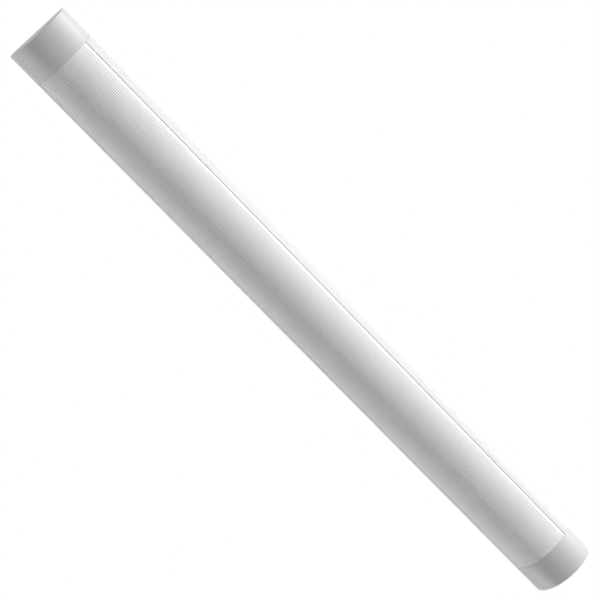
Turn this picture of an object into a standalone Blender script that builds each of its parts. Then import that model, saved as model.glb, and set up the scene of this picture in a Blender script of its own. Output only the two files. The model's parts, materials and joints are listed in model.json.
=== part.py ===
"""LED light tube: a slim 600 mm batten with a ribbed diffuser between two long end caps.

Frame: X across the width, Y along the length, Z out of the flat back. The origin is the
centre of the back face. All sizes are in metres.
"""

from math import asin, cos, pi, radians, sin

import bmesh
import bpy
from mathutils import Matrix, Vector

MM = 0.001

# Driving dimensions of the whole lamp
LENGTH = 606 * MM
WIDTH = 53 * MM
HEIGHT = 22.3 * MM
SIDE_WALL = 7.8 * MM  # upright side, from the back up to the crown
CAP_LENGTH = 28.4 * MM
GROOVE_X = 23.76 * MM  # groove between the housing's band and the diffuser
GROOVE_WIDTH = 0.5 * MM
BACK_ROUNDING = 1.1 * MM
CAP_ROUNDING = 0.8 * MM

# Wall thicknesses and fits
GAP = 0.3 * MM  # left between pieces that touch
WALL = 1.3 * MM
LIP = 1.0 * MM
CAP_WALL = 1.6 * MM
CAP_END_WALL = 2.4 * MM
DIFFUSER_WALL = 1.5 * MM
DIFFUSER_TONGUE = 0.6 * MM  # the diffuser's edge that slides in the housing's slot
DIFFUSER_SINK = 0.15 * MM  # the diffuser lies this far below the band and caps

# Diffuser ribs
RIB_PITCH = 1.335 * MM
RIB_COUNT = 33
RIB_DEPTH = 0.2 * MM

# Gear tray, a hat section that carries the LED boards
TRAY_TOP = 11.2 * MM
TRAY_SHEET = 0.8 * MM
TRAY_HALF_WIDTH = 18.4 * MM
TRAY_FOOT_X = 22.6 * MM
TRAY_HALF_LENGTH = 272 * MM
FLOOR = WALL + GAP  # where the inner pieces stand
RIVET_X = 20.6 * MM
RIVET_Y = 215 * MM

# LED boards
BOARD_LENGTH = 262 * MM
BOARD_HALF_WIDTH = 9 * MM
BOARD_THICKNESS = 1.0 * MM
BOARD_STARTS = (-266 * MM, -2 * MM)
CHIP_PITCH = 10.2 * MM
CHIP_COUNT = 25
CHIP_FIRST = 6 * MM
CHIP_SIZE = (2.8 * MM, 3.5 * MM, 0.7 * MM)
CONNECTOR_Y = 254.9 * MM  # wire connector, from the origin
WIRE_SLOT_X = 13.4 * MM  # hole in the tray that the LED wires come up through

# Driver
DRIVER_START = -80 * MM
DRIVER_END = 50 * MM
DRIVER_HALF_WIDTH = 14 * MM
DRIVER_WALL = 0.8 * MM
DRIVER_RIM = 9.0 * MM
DRIVER_BOARD_BASE = 2.9 * MM
DRIVER_BOARD_THICKNESS = 0.8 * MM
DRIVER_EAR = 7 * MM  # how far each fixing ear sticks out
DRIVER_EAR_HALF_WIDTH = 4 * MM
DRIVER_PORT = 1.2 * MM
DRIVER_PORTS = (-9.5 * MM, -6.5 * MM, 6.5 * MM, 9.5 * MM)
DRIVER_PORT_Z = 5.2 * MM

# Wiring plate and lever terminal, inside the right-hand end cap
PLATE_START = 258 * MM
PLATE_END = 298 * MM
PLATE_HALF_WIDTH = 16 * MM
PLATE_SHEET = 1.0 * MM
PLATE_SCREW = (12.5 * MM, 266 * MM)
EARTH_SCREW = (-12.5 * MM, 269.5 * MM)
EARTH_RING = 0.6 * MM  # thickness of the earth lug's ring
BLOCK_START = 277 * MM
BLOCK_END = 292.1 * MM
BLOCK_HALF_WIDTH = 9.8 * MM
BLOCK_TOP = 10.4 * MM
BLOCK_EAR = 1.6 * MM  # thickness of the block's fixing ears
BLOCK_EAR_HALF = 3 * MM
BLOCK_SCREW_X = 12.4 * MM
POLE_PITCH = 6.2 * MM
TUNNEL_WIDTH = 3.6 * MM
TUNNEL_HEIGHT = 2.8 * MM
TUNNEL_Z = 5.4 * MM
LEVER_WIDTH = 4.4 * MM
LEVER_PIVOT = (283 * MM, 9.4 * MM)  # Y and Z of the levers' common pivot
LEVER_HUB = 1.6 * MM
LEVER_TIP_Y = 291.8 * MM
PIVOT_RADIUS = 0.6 * MM

# Cable inlet in the right-hand end cap
INLET_Z = 8.2 * MM
INLET_BORE = 3.5 * MM
INLET_HOLE = 4.6 * MM
INLET_FLANGE = 6.2 * MM

# Keyholes in the back, for two wall or ceiling screws
KEYHOLE_Y = 200 * MM
KEYHOLE_HEAD = 4.3 * MM
KEYHOLE_SLOT = 2.3 * MM
KEYHOLE_LENGTH = 9 * MM

# Fasteners: shank radius, head radius, head height
SCREW_M3 = (1.2 * MM, 2.6 * MM, 1.7 * MM)
SCREW_M25 = (1.0 * MM, 2.1 * MM, 1.3 * MM)
RIVET = (1.2 * MM, 1.9 * MM, 0.8 * MM)
SCREW_HOLE = 1.5 * MM
TIP = 0.3 * MM  # height of the fasteners' tips over the back face

WIRE_MAINS = 1.6 * MM
WIRE_LED = 1.3 * MM

# Worked out from the driving dimensions
CROWN = HEIGHT - SIDE_WALL
CROWN_RADIUS = ((WIDTH / 2) ** 2 + CROWN**2) / (2 * CROWN)
CROWN_CENTRE = HEIGHT - CROWN_RADIUS
EDGE_ANGLE = asin(WIDTH / 2 / CROWN_RADIUS)
GROOVE_ANGLE = asin(GROOVE_X / CROWN_RADIUS)
SEAM = LENGTH / 2 - CAP_LENGTH
BODY_HALF_LENGTH = SEAM - GAP / 2
BOARD_BASE = TRAY_TOP + GAP
BOARD_FACE = BOARD_BASE + BOARD_THICKNESS
PLATE_TOP = FLOOR + PLATE_SHEET

WHITE_PAINT = ("white_paint", (0.86, 0.87, 0.88), 0.4, 0.0)
WHITE_PLASTIC = ("white_plastic", (0.85, 0.86, 0.87), 0.35, 0.0)
OPAL_PLASTIC = ("opal_plastic", (0.88, 0.89, 0.89), 0.3, 0.0)
BARE_STEEL = ("bare_steel", (0.55, 0.55, 0.56), 0.35, 1.0)
BARE_ALUMINIUM = ("bare_aluminium", (0.72, 0.73, 0.74), 0.4, 1.0)
WHITE_BOARD = ("white_board", (0.82, 0.83, 0.82), 0.45, 0.0)
GREEN_BOARD = ("green_board", (0.03, 0.2, 0.08), 0.4, 0.0)
BLACK_PLASTIC = ("black_plastic", (0.03, 0.03, 0.03), 0.45, 0.0)
BLACK_RUBBER = ("black_rubber", (0.04, 0.04, 0.04), 0.75, 0.0)
GREY_PLASTIC = ("grey_plastic", (0.35, 0.36, 0.37), 0.45, 0.0)
ORANGE_PLASTIC = ("orange_plastic", (0.85, 0.26, 0.03), 0.4, 0.0)
COPPER = ("copper", (0.72, 0.36, 0.2), 0.3, 1.0)
BLUE_DISC = ("blue_disc", (0.05, 0.13, 0.4), 0.45, 0.0)
GLASS_TUBE = ("glass_tube", (0.7, 0.75, 0.72), 0.1, 0.0)
CAN_SLEEVE = ("can_sleeve", (0.07, 0.08, 0.12), 0.35, 0.0)
TRANSFORMER_TAPE = ("transformer_tape", (0.65, 0.5, 0.08), 0.4, 0.0)
BROWN_INSULATION = ("brown_insulation", (0.2, 0.08, 0.03), 0.5, 0.0)
BLUE_INSULATION = ("blue_insulation", (0.03, 0.12, 0.45), 0.5, 0.0)
GREEN_YELLOW = ("earth_insulation", (0.25, 0.5, 0.05), 0.5, 0.0)
RED_INSULATION = ("red_insulation", (0.5, 0.03, 0.03), 0.5, 0.0)
BLACK_INSULATION = ("black_insulation", (0.03, 0.03, 0.03), 0.5, 0.0)


def clear_scene():
    """Remove whatever the file holds."""
    for item in list(bpy.data.objects):
        bpy.data.objects.remove(item, do_unlink=True)


def new_collection(name):
    collection = bpy.data.collections.new(name)
    bpy.context.scene.collection.children.link(collection)
    return collection


def material(finish):
    """The Principled material of a finish, made once."""
    name, colour, roughness, metallic = finish
    made = bpy.data.materials.get(name)
    if made is None:
        made = bpy.data.materials.new(name)
        made.use_nodes = True
        shader = made.node_tree.nodes["Principled BSDF"]
        shader.inputs["Base Color"].default_value = (*colour, 1)
        shader.inputs["Roughness"].default_value = roughness
        shader.inputs["Metallic"].default_value = metallic
        made.diffuse_color = (*colour, 1)
    return made


def place(item, collection):
    """Move an object into the one collection given."""
    for owner in list(item.users_collection):
        owner.objects.unlink(item)
    collection.objects.link(item)
    return item


def part(item, name, finish):
    """Name a finished piece, give it its material and shade it."""
    item.name = name
    item.data.name = name
    item.data.materials.clear()
    item.data.materials.append(material(finish))
    item.data.shade_smooth()
    item.data.set_sharp_from_angle(angle=radians(35))
    return place(item, LAMP)


def cutter(item):
    """Set a helper shape aside: it cuts or joins, and is never seen."""
    item.hide_render = True
    item.display_type = "WIRE"
    return place(item, CUTTERS)


def arc(centre, radius, start, end, segments):
    """Points on an arc, angles in radians from +X of the outline's plane."""
    points = []
    for index in range(segments + 1):
        angle = start + (end - start) * index / segments
        points.append((centre[0] + radius * cos(angle), centre[1] + radius * sin(angle)))
    return points


def polar(radius, angle):
    """A point of the cross-section, by radius and angle from the crown's centre line."""
    return (radius * sin(angle), CROWN_CENTRE + radius * cos(angle))


def crown(radius, start, end, segments):
    """Points along the crown, or along a curve at another radius under it."""
    step = (end - start) / segments
    return [polar(radius, start + step * index) for index in range(segments + 1)]


def both_sides(half):
    """Close a right-hand half outline with its mirror image."""
    return half + [(-x, z) for x, z in reversed(half)]


def mesh_from_curve(item):
    """Turn a curve object into a mesh object, so that it can be cut."""
    bpy.context.view_layer.update()
    evaluated = item.evaluated_get(bpy.context.evaluated_depsgraph_get())
    mesh = bpy.data.meshes.new_from_object(evaluated)
    solid = bpy.data.objects.new(item.name, mesh)
    solid.matrix_world = item.matrix_world.copy()
    bpy.context.scene.collection.objects.link(solid)
    bpy.data.objects.remove(item, do_unlink=True)
    shape = bmesh.new()
    shape.from_mesh(mesh)
    bmesh.ops.remove_doubles(shape, verts=shape.verts, dist=1e-6)
    shape.to_mesh(mesh)
    shape.free()
    return solid


def prism(loops, low, high, along="Y"):
    """Extrude flat outlines from low to high along Y (outline in XZ), Z (XY) or X (YZ)."""
    curve = bpy.data.curves.new("outline", "CURVE")
    curve.dimensions = "2D"
    curve.fill_mode = "BOTH"
    curve.extrude = (high - low) / 2
    for loop in loops:
        spline = curve.splines.new("POLY")
        spline.points.add(len(loop) - 1)
        for point, (across, up) in zip(spline.points, loop):
            point.co = (across, up, 0, 1)
        spline.use_cyclic_u = True
    item = bpy.data.objects.new("outline", curve)
    bpy.context.scene.collection.objects.link(item)
    middle = (low + high) / 2
    if along == "Y":
        item.matrix_world = Matrix.Translation((0, middle, 0)) @ Matrix.Rotation(pi / 2, 4, "X")
    elif along == "X":
        turned = Matrix.Rotation(pi / 2, 4, "Z") @ Matrix.Rotation(pi / 2, 4, "X")
        item.matrix_world = Matrix.Translation((middle, 0, 0)) @ turned
    else:
        item.matrix_world = Matrix.Translation((0, 0, middle))
    return mesh_from_curve(item)


def rectangle(low, high, radius=0.0):
    """A rectangle's outline, with round corners where a radius is given."""
    corners = ((high[0], low[1]), (high[0], high[1]), (low[0], high[1]), (low[0], low[1]))
    if not radius:
        return list(corners)
    points = []
    for index, (x, y) in enumerate(corners):
        inset = (x - radius if x == high[0] else x + radius, y + radius if y == low[1] else y - radius)
        start = -pi / 2 + index * pi / 2
        points += arc(inset, radius, start, start + pi / 2, 3)
    return points


def box(low, high):
    """A box between two corners."""
    bpy.ops.mesh.primitive_cube_add(size=1)
    item = bpy.context.active_object
    size = [top - bottom for bottom, top in zip(low, high)]
    middle = [(top + bottom) / 2 for bottom, top in zip(low, high)]
    item.data.transform(Matrix.Translation(middle) @ Matrix.Diagonal((*size, 1)))
    return item


def rod(start, end, radius, sides=16):
    """A cylinder between two points."""
    start, end = Vector(start), Vector(end)
    bpy.ops.mesh.primitive_cylinder_add(vertices=sides, radius=radius, depth=(end - start).length)
    item = bpy.context.active_object
    turn = (end - start).to_track_quat("Z", "Y").to_matrix().to_4x4()
    item.data.transform(Matrix.Translation((start + end) / 2) @ turn)
    return item


def turned(profile, steps=20):
    """A turned solid about Z: its profile runs down the outer side, top to bottom."""
    mesh = bpy.data.meshes.new("profile")
    shape = bmesh.new()
    points = [shape.verts.new((radius, 0, height)) for radius, height in profile]
    for first, second in zip(points, points[1:]):
        shape.edges.new((first, second))
    if profile[0][0] > 0:
        shape.edges.new((points[-1], points[0]))
    shape.to_mesh(mesh)
    shape.free()
    item = bpy.data.objects.new("turned", mesh)
    bpy.context.scene.collection.objects.link(item)
    screw = item.modifiers.new("turn", "SCREW")
    screw.steps = steps
    screw.render_steps = steps
    screw.use_merge_vertices = True
    screw.merge_threshold = 1e-5
    return item


def combine(item, others, operation):
    """Add a Boolean modifier with one or more helper shapes."""
    for other in others:
        change = item.modifiers.new(operation.lower(), "BOOLEAN")
        change.operation = operation
        change.solver = "EXACT"
        change.object = cutter(other)
    return item


def cut(item, *others):
    return combine(item, others, "DIFFERENCE")


def join(item, *others):
    return combine(item, others, "UNION")


def hole(x, y, low, high, radius=SCREW_HOLE):
    """A cutter for a round hole along Z."""
    return rod((x, y, low), (x, y, high), radius)


def crosshead_screw(name, size, x, y, under_head, tip, finish=BARE_STEEL):
    """A pan-head screw that stands on Z, with a cross recess in its head."""
    shank, head, height = size
    top = under_head + height
    edge = 0.3 * height
    profile = [(0, top), (0.55 * head, top), (0.88 * head, top - edge), (head, top - 2 * edge)]
    profile += [(head, under_head), (shank, under_head), (shank, tip + shank / 2), (shank / 2, tip), (0, tip)]
    item = turned(profile, 16)
    item.location = (x, y, 0)
    half = 0.45 * head
    slot = 0.13 * head
    floor = top - 0.45 * height
    for across, along in ((half, slot), (slot, half)):
        cut(item, box((x - across, y - along, floor), (x + across, y + along, top + GAP)))
    return part(item, name, finish)


def rivet(name, x, y):
    """A blind rivet through the tray's foot and the back plate."""
    shank, head, height = RIVET
    foot = FLOOR + TRAY_SHEET + GAP
    profile = [(0, foot + height), (0.5 * head, foot + height), (0.87 * head, foot + 0.6 * height)]
    profile += [(head, foot), (shank, foot), (shank, TIP), (0, TIP)]
    item = turned(profile, 16)
    item.location = (x, y, 0)
    return part(item, name, BARE_ALUMINIUM)


def keyhole(y, low, high):
    """A cutter for a keyhole slot: a round hole for the screw's head and a slot beside it."""
    half_angle = asin(KEYHOLE_SLOT / KEYHOLE_HEAD)
    outline = arc((0, y), KEYHOLE_HEAD, pi / 2 + half_angle, pi / 2 + 2 * pi - half_angle, 20)
    outline += arc((0, y + KEYHOLE_LENGTH), KEYHOLE_SLOT, 0, pi, 8)
    return prism([outline], low, high, "Z")


def base_housing():
    """The white extrusion: back plate, upright sides, and the bands up to the diffuser."""
    half_width = WIDTH / 2
    rounding = arc((half_width - BACK_ROUNDING, BACK_ROUNDING), BACK_ROUNDING, -pi / 2, 0, 4)
    lip_angle = GROOVE_ANGLE + GROOVE_WIDTH / 2 / CROWN_RADIUS
    slot_top = CROWN_RADIUS - LIP
    slot_floor = slot_top - 2 * GAP - DIFFUSER_TONGUE
    slot_end = GROOVE_ANGLE + 2.0 * MM / CROWN_RADIUS
    shelf_tip = radians(46)
    shelf_under = slot_floor - 1.0 * MM
    wall_x = half_width - WALL
    half = rounding
    half += crown(CROWN_RADIUS, EDGE_ANGLE, lip_angle, 4)
    half += crown(slot_top, lip_angle, slot_end, 2)
    half += crown(slot_floor, slot_end, shelf_tip, 3)
    half += crown(shelf_under, shelf_tip, radians(55), 3)
    half += [(wall_x, 5.2 * MM)]
    half += arc((wall_x - WALL, 2 * WALL), WALL, 0, -pi / 2, 3)
    housing = prism([both_sides(half)], -BODY_HALF_LENGTH, BODY_HALF_LENGTH)
    low = -1 * MM
    high = FLOOR + GAP
    for side in (-1, 1):
        cut(housing, keyhole(side * KEYHOLE_Y, low, high))
        for end in (-1, 1):
            cut(housing, hole(side * RIVET_X, end * RIVET_Y, low, high))
    for x, y in driver_screw_places() + [PLATE_SCREW, EARTH_SCREW]:
        cut(housing, hole(x, y, low, high))
    return part(housing, "base_housing", WHITE_PAINT)


def diffuser():
    """The opal cover: ribs outside, smooth edge strips, and a tongue in each slot."""
    outer = CROWN_RADIUS - DIFFUSER_SINK
    inner = outer - DIFFUSER_WALL
    tongue_top = CROWN_RADIUS - LIP - GAP
    tongue_under = tongue_top - DIFFUSER_TONGUE
    edge = GROOVE_ANGLE - GROOVE_WIDTH / 2 / CROWN_RADIUS
    tongue_end = GROOVE_ANGLE + 1.6 * MM / CROWN_RADIUS
    half = []
    for index in range(RIB_COUNT):
        radius = outer if index % 2 == 0 else outer - RIB_DEPTH
        angle = asin((index + 0.5 * (index == 0)) * RIB_PITCH / 2 / outer)
        half.append(polar(radius, angle))
    half += crown(outer, asin(RIB_COUNT * RIB_PITCH / 2 / outer), edge, 2)
    half += crown(tongue_top, edge, tongue_end, 2)
    half += crown(tongue_under, tongue_end, edge - 1.4 * MM / CROWN_RADIUS, 3)
    half += crown(inner, edge - 1.7 * MM / CROWN_RADIUS, radians(1.5), 10)
    cover = prism([both_sides(half)], -BODY_HALF_LENGTH, BODY_HALF_LENGTH)
    return part(cover, "diffuser", OPAL_PLASTIC)


def cap_outline(inset, floor):
    """The D-shaped section of an end cap, shrunk by an inset, above a floor."""
    radius = CROWN_RADIUS - inset
    half_width = WIDTH / 2 - inset
    if inset:
        corner = [(half_width, floor)]
    else:
        corner = arc((half_width - BACK_ROUNDING, BACK_ROUNDING), BACK_ROUNDING, -pi / 2, 0, 4)
    shoulder = asin(half_width / radius)
    return both_sides(corner + crown(radius, shoulder, radians(1.3), 14))


def round_end_edges(item, end_y, width):
    """Round the edges where a prism's end face meets its sides."""
    weights = item.data.attributes.new("bevel_weight_edge", "FLOAT", "EDGE")
    for edge in item.data.edges:
        ends = [item.matrix_world @ item.data.vertices[index].co for index in edge.vertices]
        if all(abs(end.y - end_y) < 1e-6 for end in ends):
            weights.data[edge.index].value = 1.0
    bevel = item.modifiers.new("edge", "BEVEL")
    bevel.limit_method = "WEIGHT"
    bevel.width = width
    bevel.segments = 3
    return item


def end_cap(name, side):
    """A long end cap: a deep cup with two tongues that grip inside the housing's sides."""
    inner_end = side * (SEAM + GAP / 2)
    outer_end = side * LENGTH / 2
    cup = prism([cap_outline(0, 0)], min(inner_end, outer_end), max(inner_end, outer_end))
    dissolve_flat_faces(cup)
    round_end_edges(cup, outer_end, CAP_ROUNDING)
    mouth = side * (SEAM - 1 * MM)
    bottom = side * (LENGTH / 2 - CAP_END_WALL)
    cut(cup, prism([cap_outline(CAP_WALL, WALL)], min(mouth, bottom), max(mouth, bottom)))
    for hand in (-1, 1):
        join(cup, cap_tongue(side, hand))
    return part(cup, name, WHITE_PLASTIC)


def cap_tongue(side, hand):
    """One tongue of an end cap, rooted in the cup's side wall."""
    outside = WIDTH / 2 - WALL - GAP
    inside = outside - 1.2 * MM
    rooted = WIDTH / 2 - CAP_WALL / 2
    tip = SEAM - 8 * MM
    mouth = SEAM + 0.6 * MM
    root = SEAM + 6 * MM
    outer_side = [(outside, tip), (outside, mouth), (rooted, mouth), (rooted, root)]
    outline = [(hand * x, side * y) for x, y in [(inside, tip)] + outer_side + [(inside, root)]]
    return prism([outline], 2.2 * MM, 4.6 * MM, "Z")


def dissolve_flat_faces(item):
    """Merge the triangles of flat ends and sides back into whole faces."""
    shape = bmesh.new()
    shape.from_mesh(item.data)
    bmesh.ops.dissolve_limit(
        shape,
        angle_limit=radians(0.5),
        verts=shape.verts,
        edges=shape.edges,
        use_dissolve_boundaries=False,
    )
    shape.to_mesh(item.data)
    shape.free()


def cable_inlet(cap):
    """Cut the inlet into the right-hand cap and fit its rubber grommet."""
    face = LENGTH / 2
    inside = face - CAP_END_WALL
    web = face - 1.2 * MM
    cut(cap, rod((0, inside - 1 * MM, INLET_Z), (0, face + 1 * MM, INLET_Z), INLET_HOLE, 24))
    cut(cap, rod((0, web, INLET_Z), (0, face + 1 * MM, INLET_Z), INLET_FLANGE + GAP, 24))
    neck = INLET_HOLE - GAP
    front = -0.1 * MM  # just below the cap's end face
    groove_front = web - face + GAP
    groove_back = inside - face - GAP
    back = groove_back - 1.2 * MM
    profile = [(INLET_BORE + 0.5 * MM, front), (INLET_FLANGE - 0.4 * MM, front)]
    profile += [(INLET_FLANGE, front - 0.4 * MM), (INLET_FLANGE, groove_front), (neck, groove_front)]
    profile += [(neck, groove_back), (INLET_FLANGE - 0.6 * MM, groove_back), (INLET_FLANGE - 1.2 * MM, back)]
    profile += [(INLET_BORE, back), (INLET_BORE, front - 0.5 * MM)]
    grommet = turned(profile, 24)
    grommet.matrix_world = Matrix.Translation((0, face, INLET_Z)) @ Matrix.Rotation(-pi / 2, 4, "X")
    return part(grommet, "cable_grommet", BLACK_RUBBER)


def gear_tray():
    """The folded tray that stands on the back plate and carries the LED boards."""
    under = TRAY_TOP - TRAY_SHEET
    leg_inside = TRAY_HALF_WIDTH - TRAY_SHEET
    foot_top = FLOOR + TRAY_SHEET
    half = [(leg_inside, FLOOR), (TRAY_FOOT_X, FLOOR), (TRAY_FOOT_X, foot_top)]
    half += [(TRAY_HALF_WIDTH, foot_top), (TRAY_HALF_WIDTH, TRAY_TOP - 0.4 * MM)]
    half += [(TRAY_HALF_WIDTH - 0.4 * MM, TRAY_TOP)]
    outline = both_sides(half) + [(-leg_inside, under), (leg_inside, under)]
    tray = prism([outline], -TRAY_HALF_LENGTH, TRAY_HALF_LENGTH)
    for side in (-1, 1):
        for end in (-1, 1):
            cut(tray, hole(side * RIVET_X, end * RIVET_Y, 0, foot_top + 1 * MM))
    for y in board_screw_places():
        cut(tray, hole(0, y, under - 1 * MM, TRAY_TOP + 1 * MM))
    slot = rectangle(
        (WIRE_SLOT_X - 2 * MM, CONNECTOR_Y - 4 * MM),
        (WIRE_SLOT_X + 2 * MM, CONNECTOR_Y + 4 * MM),
        1.5 * MM,
    )
    cut(tray, prism([slot], under - 1 * MM, TRAY_TOP + 1 * MM, "Z"))
    return part(tray, "gear_tray", WHITE_PAINT)


def board_screw_places():
    """Along Y, midway between two chips near each end of each board."""
    places = []
    for start in BOARD_STARTS:
        for chips in (2.5, 20.5):
            places.append(start + CHIP_FIRST + chips * CHIP_PITCH)
    return places


def led_board(name, start):
    """A white board with one row of LED chips."""
    outline = rectangle((-BOARD_HALF_WIDTH, start), (BOARD_HALF_WIDTH, start + BOARD_LENGTH))
    board = prism([outline], BOARD_BASE, BOARD_FACE, "Z")
    width, length, height = CHIP_SIZE
    for index in range(CHIP_COUNT):
        y = start + CHIP_FIRST + index * CHIP_PITCH
        low = (-width / 2, y - length / 2, BOARD_FACE - 0.3 * MM)
        join(board, box(low, (width / 2, y + length / 2, BOARD_FACE + height)))
    for y in board_screw_places():
        if start < y < start + BOARD_LENGTH:
            cut(board, hole(0, y, BOARD_BASE - 1 * MM, BOARD_FACE + 1 * MM))
    return part(board, name, WHITE_BOARD)


def board_link():
    """The plug-in link that joins the two boards end to end."""
    middle = BOARD_STARTS[1] - 1 * MM
    base = BOARD_FACE + GAP
    body = prism([rectangle((-7.5 * MM, middle - 4 * MM), (-2.5 * MM, middle + 4 * MM), 0.5 * MM)],
                 base, base + 2.4 * MM, "Z")
    return part(body, "board_link", WHITE_PLASTIC)


def board_connector():
    """The two-way connector where the LED wires meet the second board."""
    base = BOARD_FACE + GAP
    body = box((2.5 * MM, CONNECTOR_Y - 3.2 * MM, base), (8.5 * MM, CONNECTOR_Y + 3.2 * MM, base + 2.8 * MM))
    for side in (-1, 1):
        y = CONNECTOR_Y + side * 1.6 * MM
        z = base + 1.4 * MM
        cut(body, rod((5 * MM, y, z), (9.5 * MM, y, z), 1.0 * MM, 12))
    return part(body, "board_connector", WHITE_PLASTIC)


def driver_screw_places():
    middle = DRIVER_EAR / 2
    return [(0, DRIVER_START - middle), (0, DRIVER_END + middle)]


def driver_case():
    """The driver's open box, with an ear at each end and four wire ports."""
    half = DRIVER_HALF_WIDTH
    case = box((-half, DRIVER_START, FLOOR), (half, DRIVER_END, DRIVER_RIM))
    cut(case, box((DRIVER_WALL - half, DRIVER_START + DRIVER_WALL, FLOOR + DRIVER_WALL),
                  (half - DRIVER_WALL, DRIVER_END - DRIVER_WALL, DRIVER_RIM + 1 * MM)))
    rooted = DRIVER_WALL / 2
    ears = (
        (DRIVER_START - DRIVER_EAR, DRIVER_START + rooted),
        (DRIVER_END - rooted, DRIVER_END + DRIVER_EAR),
    )
    for low, high in ears:
        ear = rectangle((-DRIVER_EAR_HALF_WIDTH, low), (DRIVER_EAR_HALF_WIDTH, high), 0.3 * MM)
        join(case, prism([ear], FLOOR, FLOOR + DRIVER_WALL, "Z"))
    for x, y in driver_screw_places():
        cut(case, hole(x, y, FLOOR - 1 * MM, FLOOR + 2 * MM))
    for x in DRIVER_PORTS:
        start = (x, DRIVER_END - 2 * MM, DRIVER_PORT_Z)
        cut(case, rod(start, (x, DRIVER_END + 1 * MM, DRIVER_PORT_Z), DRIVER_PORT))
    return part(case, "driver_case", BLACK_PLASTIC)


def driver_boards():
    """The driver's lid and its circuit board."""
    half = DRIVER_HALF_WIDTH
    lid_base = DRIVER_RIM + GAP
    lid = prism([rectangle((-half, DRIVER_START), (half, DRIVER_END), 0.8 * MM)],
                lid_base, lid_base + 0.6 * MM, "Z")
    part(lid, "driver_cover", BLACK_PLASTIC)
    margin = DRIVER_WALL + 0.4 * MM
    board = box((margin - half, DRIVER_START + margin, DRIVER_BOARD_BASE),
                (half - margin, DRIVER_END - margin, DRIVER_BOARD_BASE + DRIVER_BOARD_THICKNESS))
    part(board, "driver_board", GREEN_BOARD)


def driver_components():
    """What stands on the driver's board, lying low under the lid."""
    base = DRIVER_BOARD_BASE + DRIVER_BOARD_THICKNESS + GAP

    def chip(name, x, y, width, length, height, finish):
        outline = rectangle((x - width / 2, y - length / 2), (x + width / 2, y + length / 2), 0.3 * MM)
        return part(prism([outline], base, base + height, "Z"), name, finish)

    def can(name, x, y, radius, length, finish):
        """A lying can, with the bead that is rolled in near its end."""
        bead = length / 2 - 1.6 * MM
        profile = [(0, length / 2), (radius - 0.3 * MM, length / 2), (radius, length / 2 - 0.3 * MM)]
        profile += [(radius, bead + 0.4 * MM), (radius - 0.3 * MM, bead), (radius, bead - 0.4 * MM)]
        profile += [(radius, -length / 2), (0, -length / 2)]
        item = turned(profile)
        item.matrix_world = Matrix.Translation((x, y, base + radius)) @ Matrix.Rotation(pi / 2, 4, "X")
        return part(item, name, finish)

    can("driver_input_capacitor", 6 * MM, 12 * MM, 2.4 * MM, 18 * MM, CAN_SLEEVE)
    can("driver_output_capacitor", -6 * MM, -58 * MM, 2.4 * MM, 16 * MM, CAN_SLEEVE)
    part(rod((-8 * MM, 28 * MM, base + 1.8 * MM), (-8 * MM, 38 * MM, base + 1.8 * MM), 1.8 * MM),
         "driver_fuse", GLASS_TUBE)
    part(rod((-2.6 * MM, 34 * MM, base + 2.3 * MM), (-0.4 * MM, 34 * MM, base + 2.3 * MM), 2.3 * MM, 20),
         "driver_varistor", BLUE_DISC)
    part(rod((8 * MM, -46 * MM, base + 1.3 * MM), (8 * MM, -40 * MM, base + 1.3 * MM), 1.3 * MM),
         "driver_output_diode", BLACK_PLASTIC)
    chip("driver_rectifier", 6 * MM, 32 * MM, 6 * MM, 5 * MM, 2.6 * MM, BLACK_PLASTIC)
    chip("driver_switch", -8 * MM, -2 * MM, 6.5 * MM, 6 * MM, 2.2 * MM, BLACK_PLASTIC)
    chip("driver_controller", 7 * MM, -60 * MM, 4 * MM, 5 * MM, 1.5 * MM, BLACK_PLASTIC)
    flange, core = 4 * MM, 3 * MM
    profile = [(0, 4.8 * MM), (flange - 0.2 * MM, 4.8 * MM), (flange, 4.6 * MM), (flange, 4 * MM)]
    profile += [(core, 3.8 * MM), (core, 1 * MM), (flange, 0.8 * MM), (flange, 0), (0, 0)]
    choke = turned(profile)
    choke.location = (-7 * MM, 14 * MM, base)
    part(choke, "driver_choke", GREY_PLASTIC)
    winding = rectangle((-6 * MM, -31 * MM), (6 * MM, -15 * MM), 2 * MM)
    transformer = prism([winding], base + 0.4 * MM, base + 4.4 * MM, "Z")
    join(transformer, box((-4 * MM, -34 * MM, base), (4 * MM, -12 * MM, base + 4.9 * MM)))
    part(transformer, "driver_transformer", TRANSFORMER_TAPE)


def terminal_plate():
    """The steel tongue that carries the terminal out into the right-hand end cap."""
    outline = rectangle((-PLATE_HALF_WIDTH, PLATE_START), (PLATE_HALF_WIDTH, PLATE_END), 2 * MM)
    plate = prism([outline], FLOOR, PLATE_TOP, "Z")
    for x, y in terminal_screw_places() + [PLATE_SCREW, EARTH_SCREW]:
        cut(plate, hole(x, y, FLOOR - 1 * MM, PLATE_TOP + 1 * MM))
    return part(plate, "terminal_plate", BARE_STEEL)


def terminal_screw_places():
    middle = (BLOCK_START + BLOCK_END) / 2
    return [(side * BLOCK_SCREW_X, middle) for side in (-1, 1)]


def pole_places():
    return [index * POLE_PITCH for index in (-1, 0, 1)]


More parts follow.
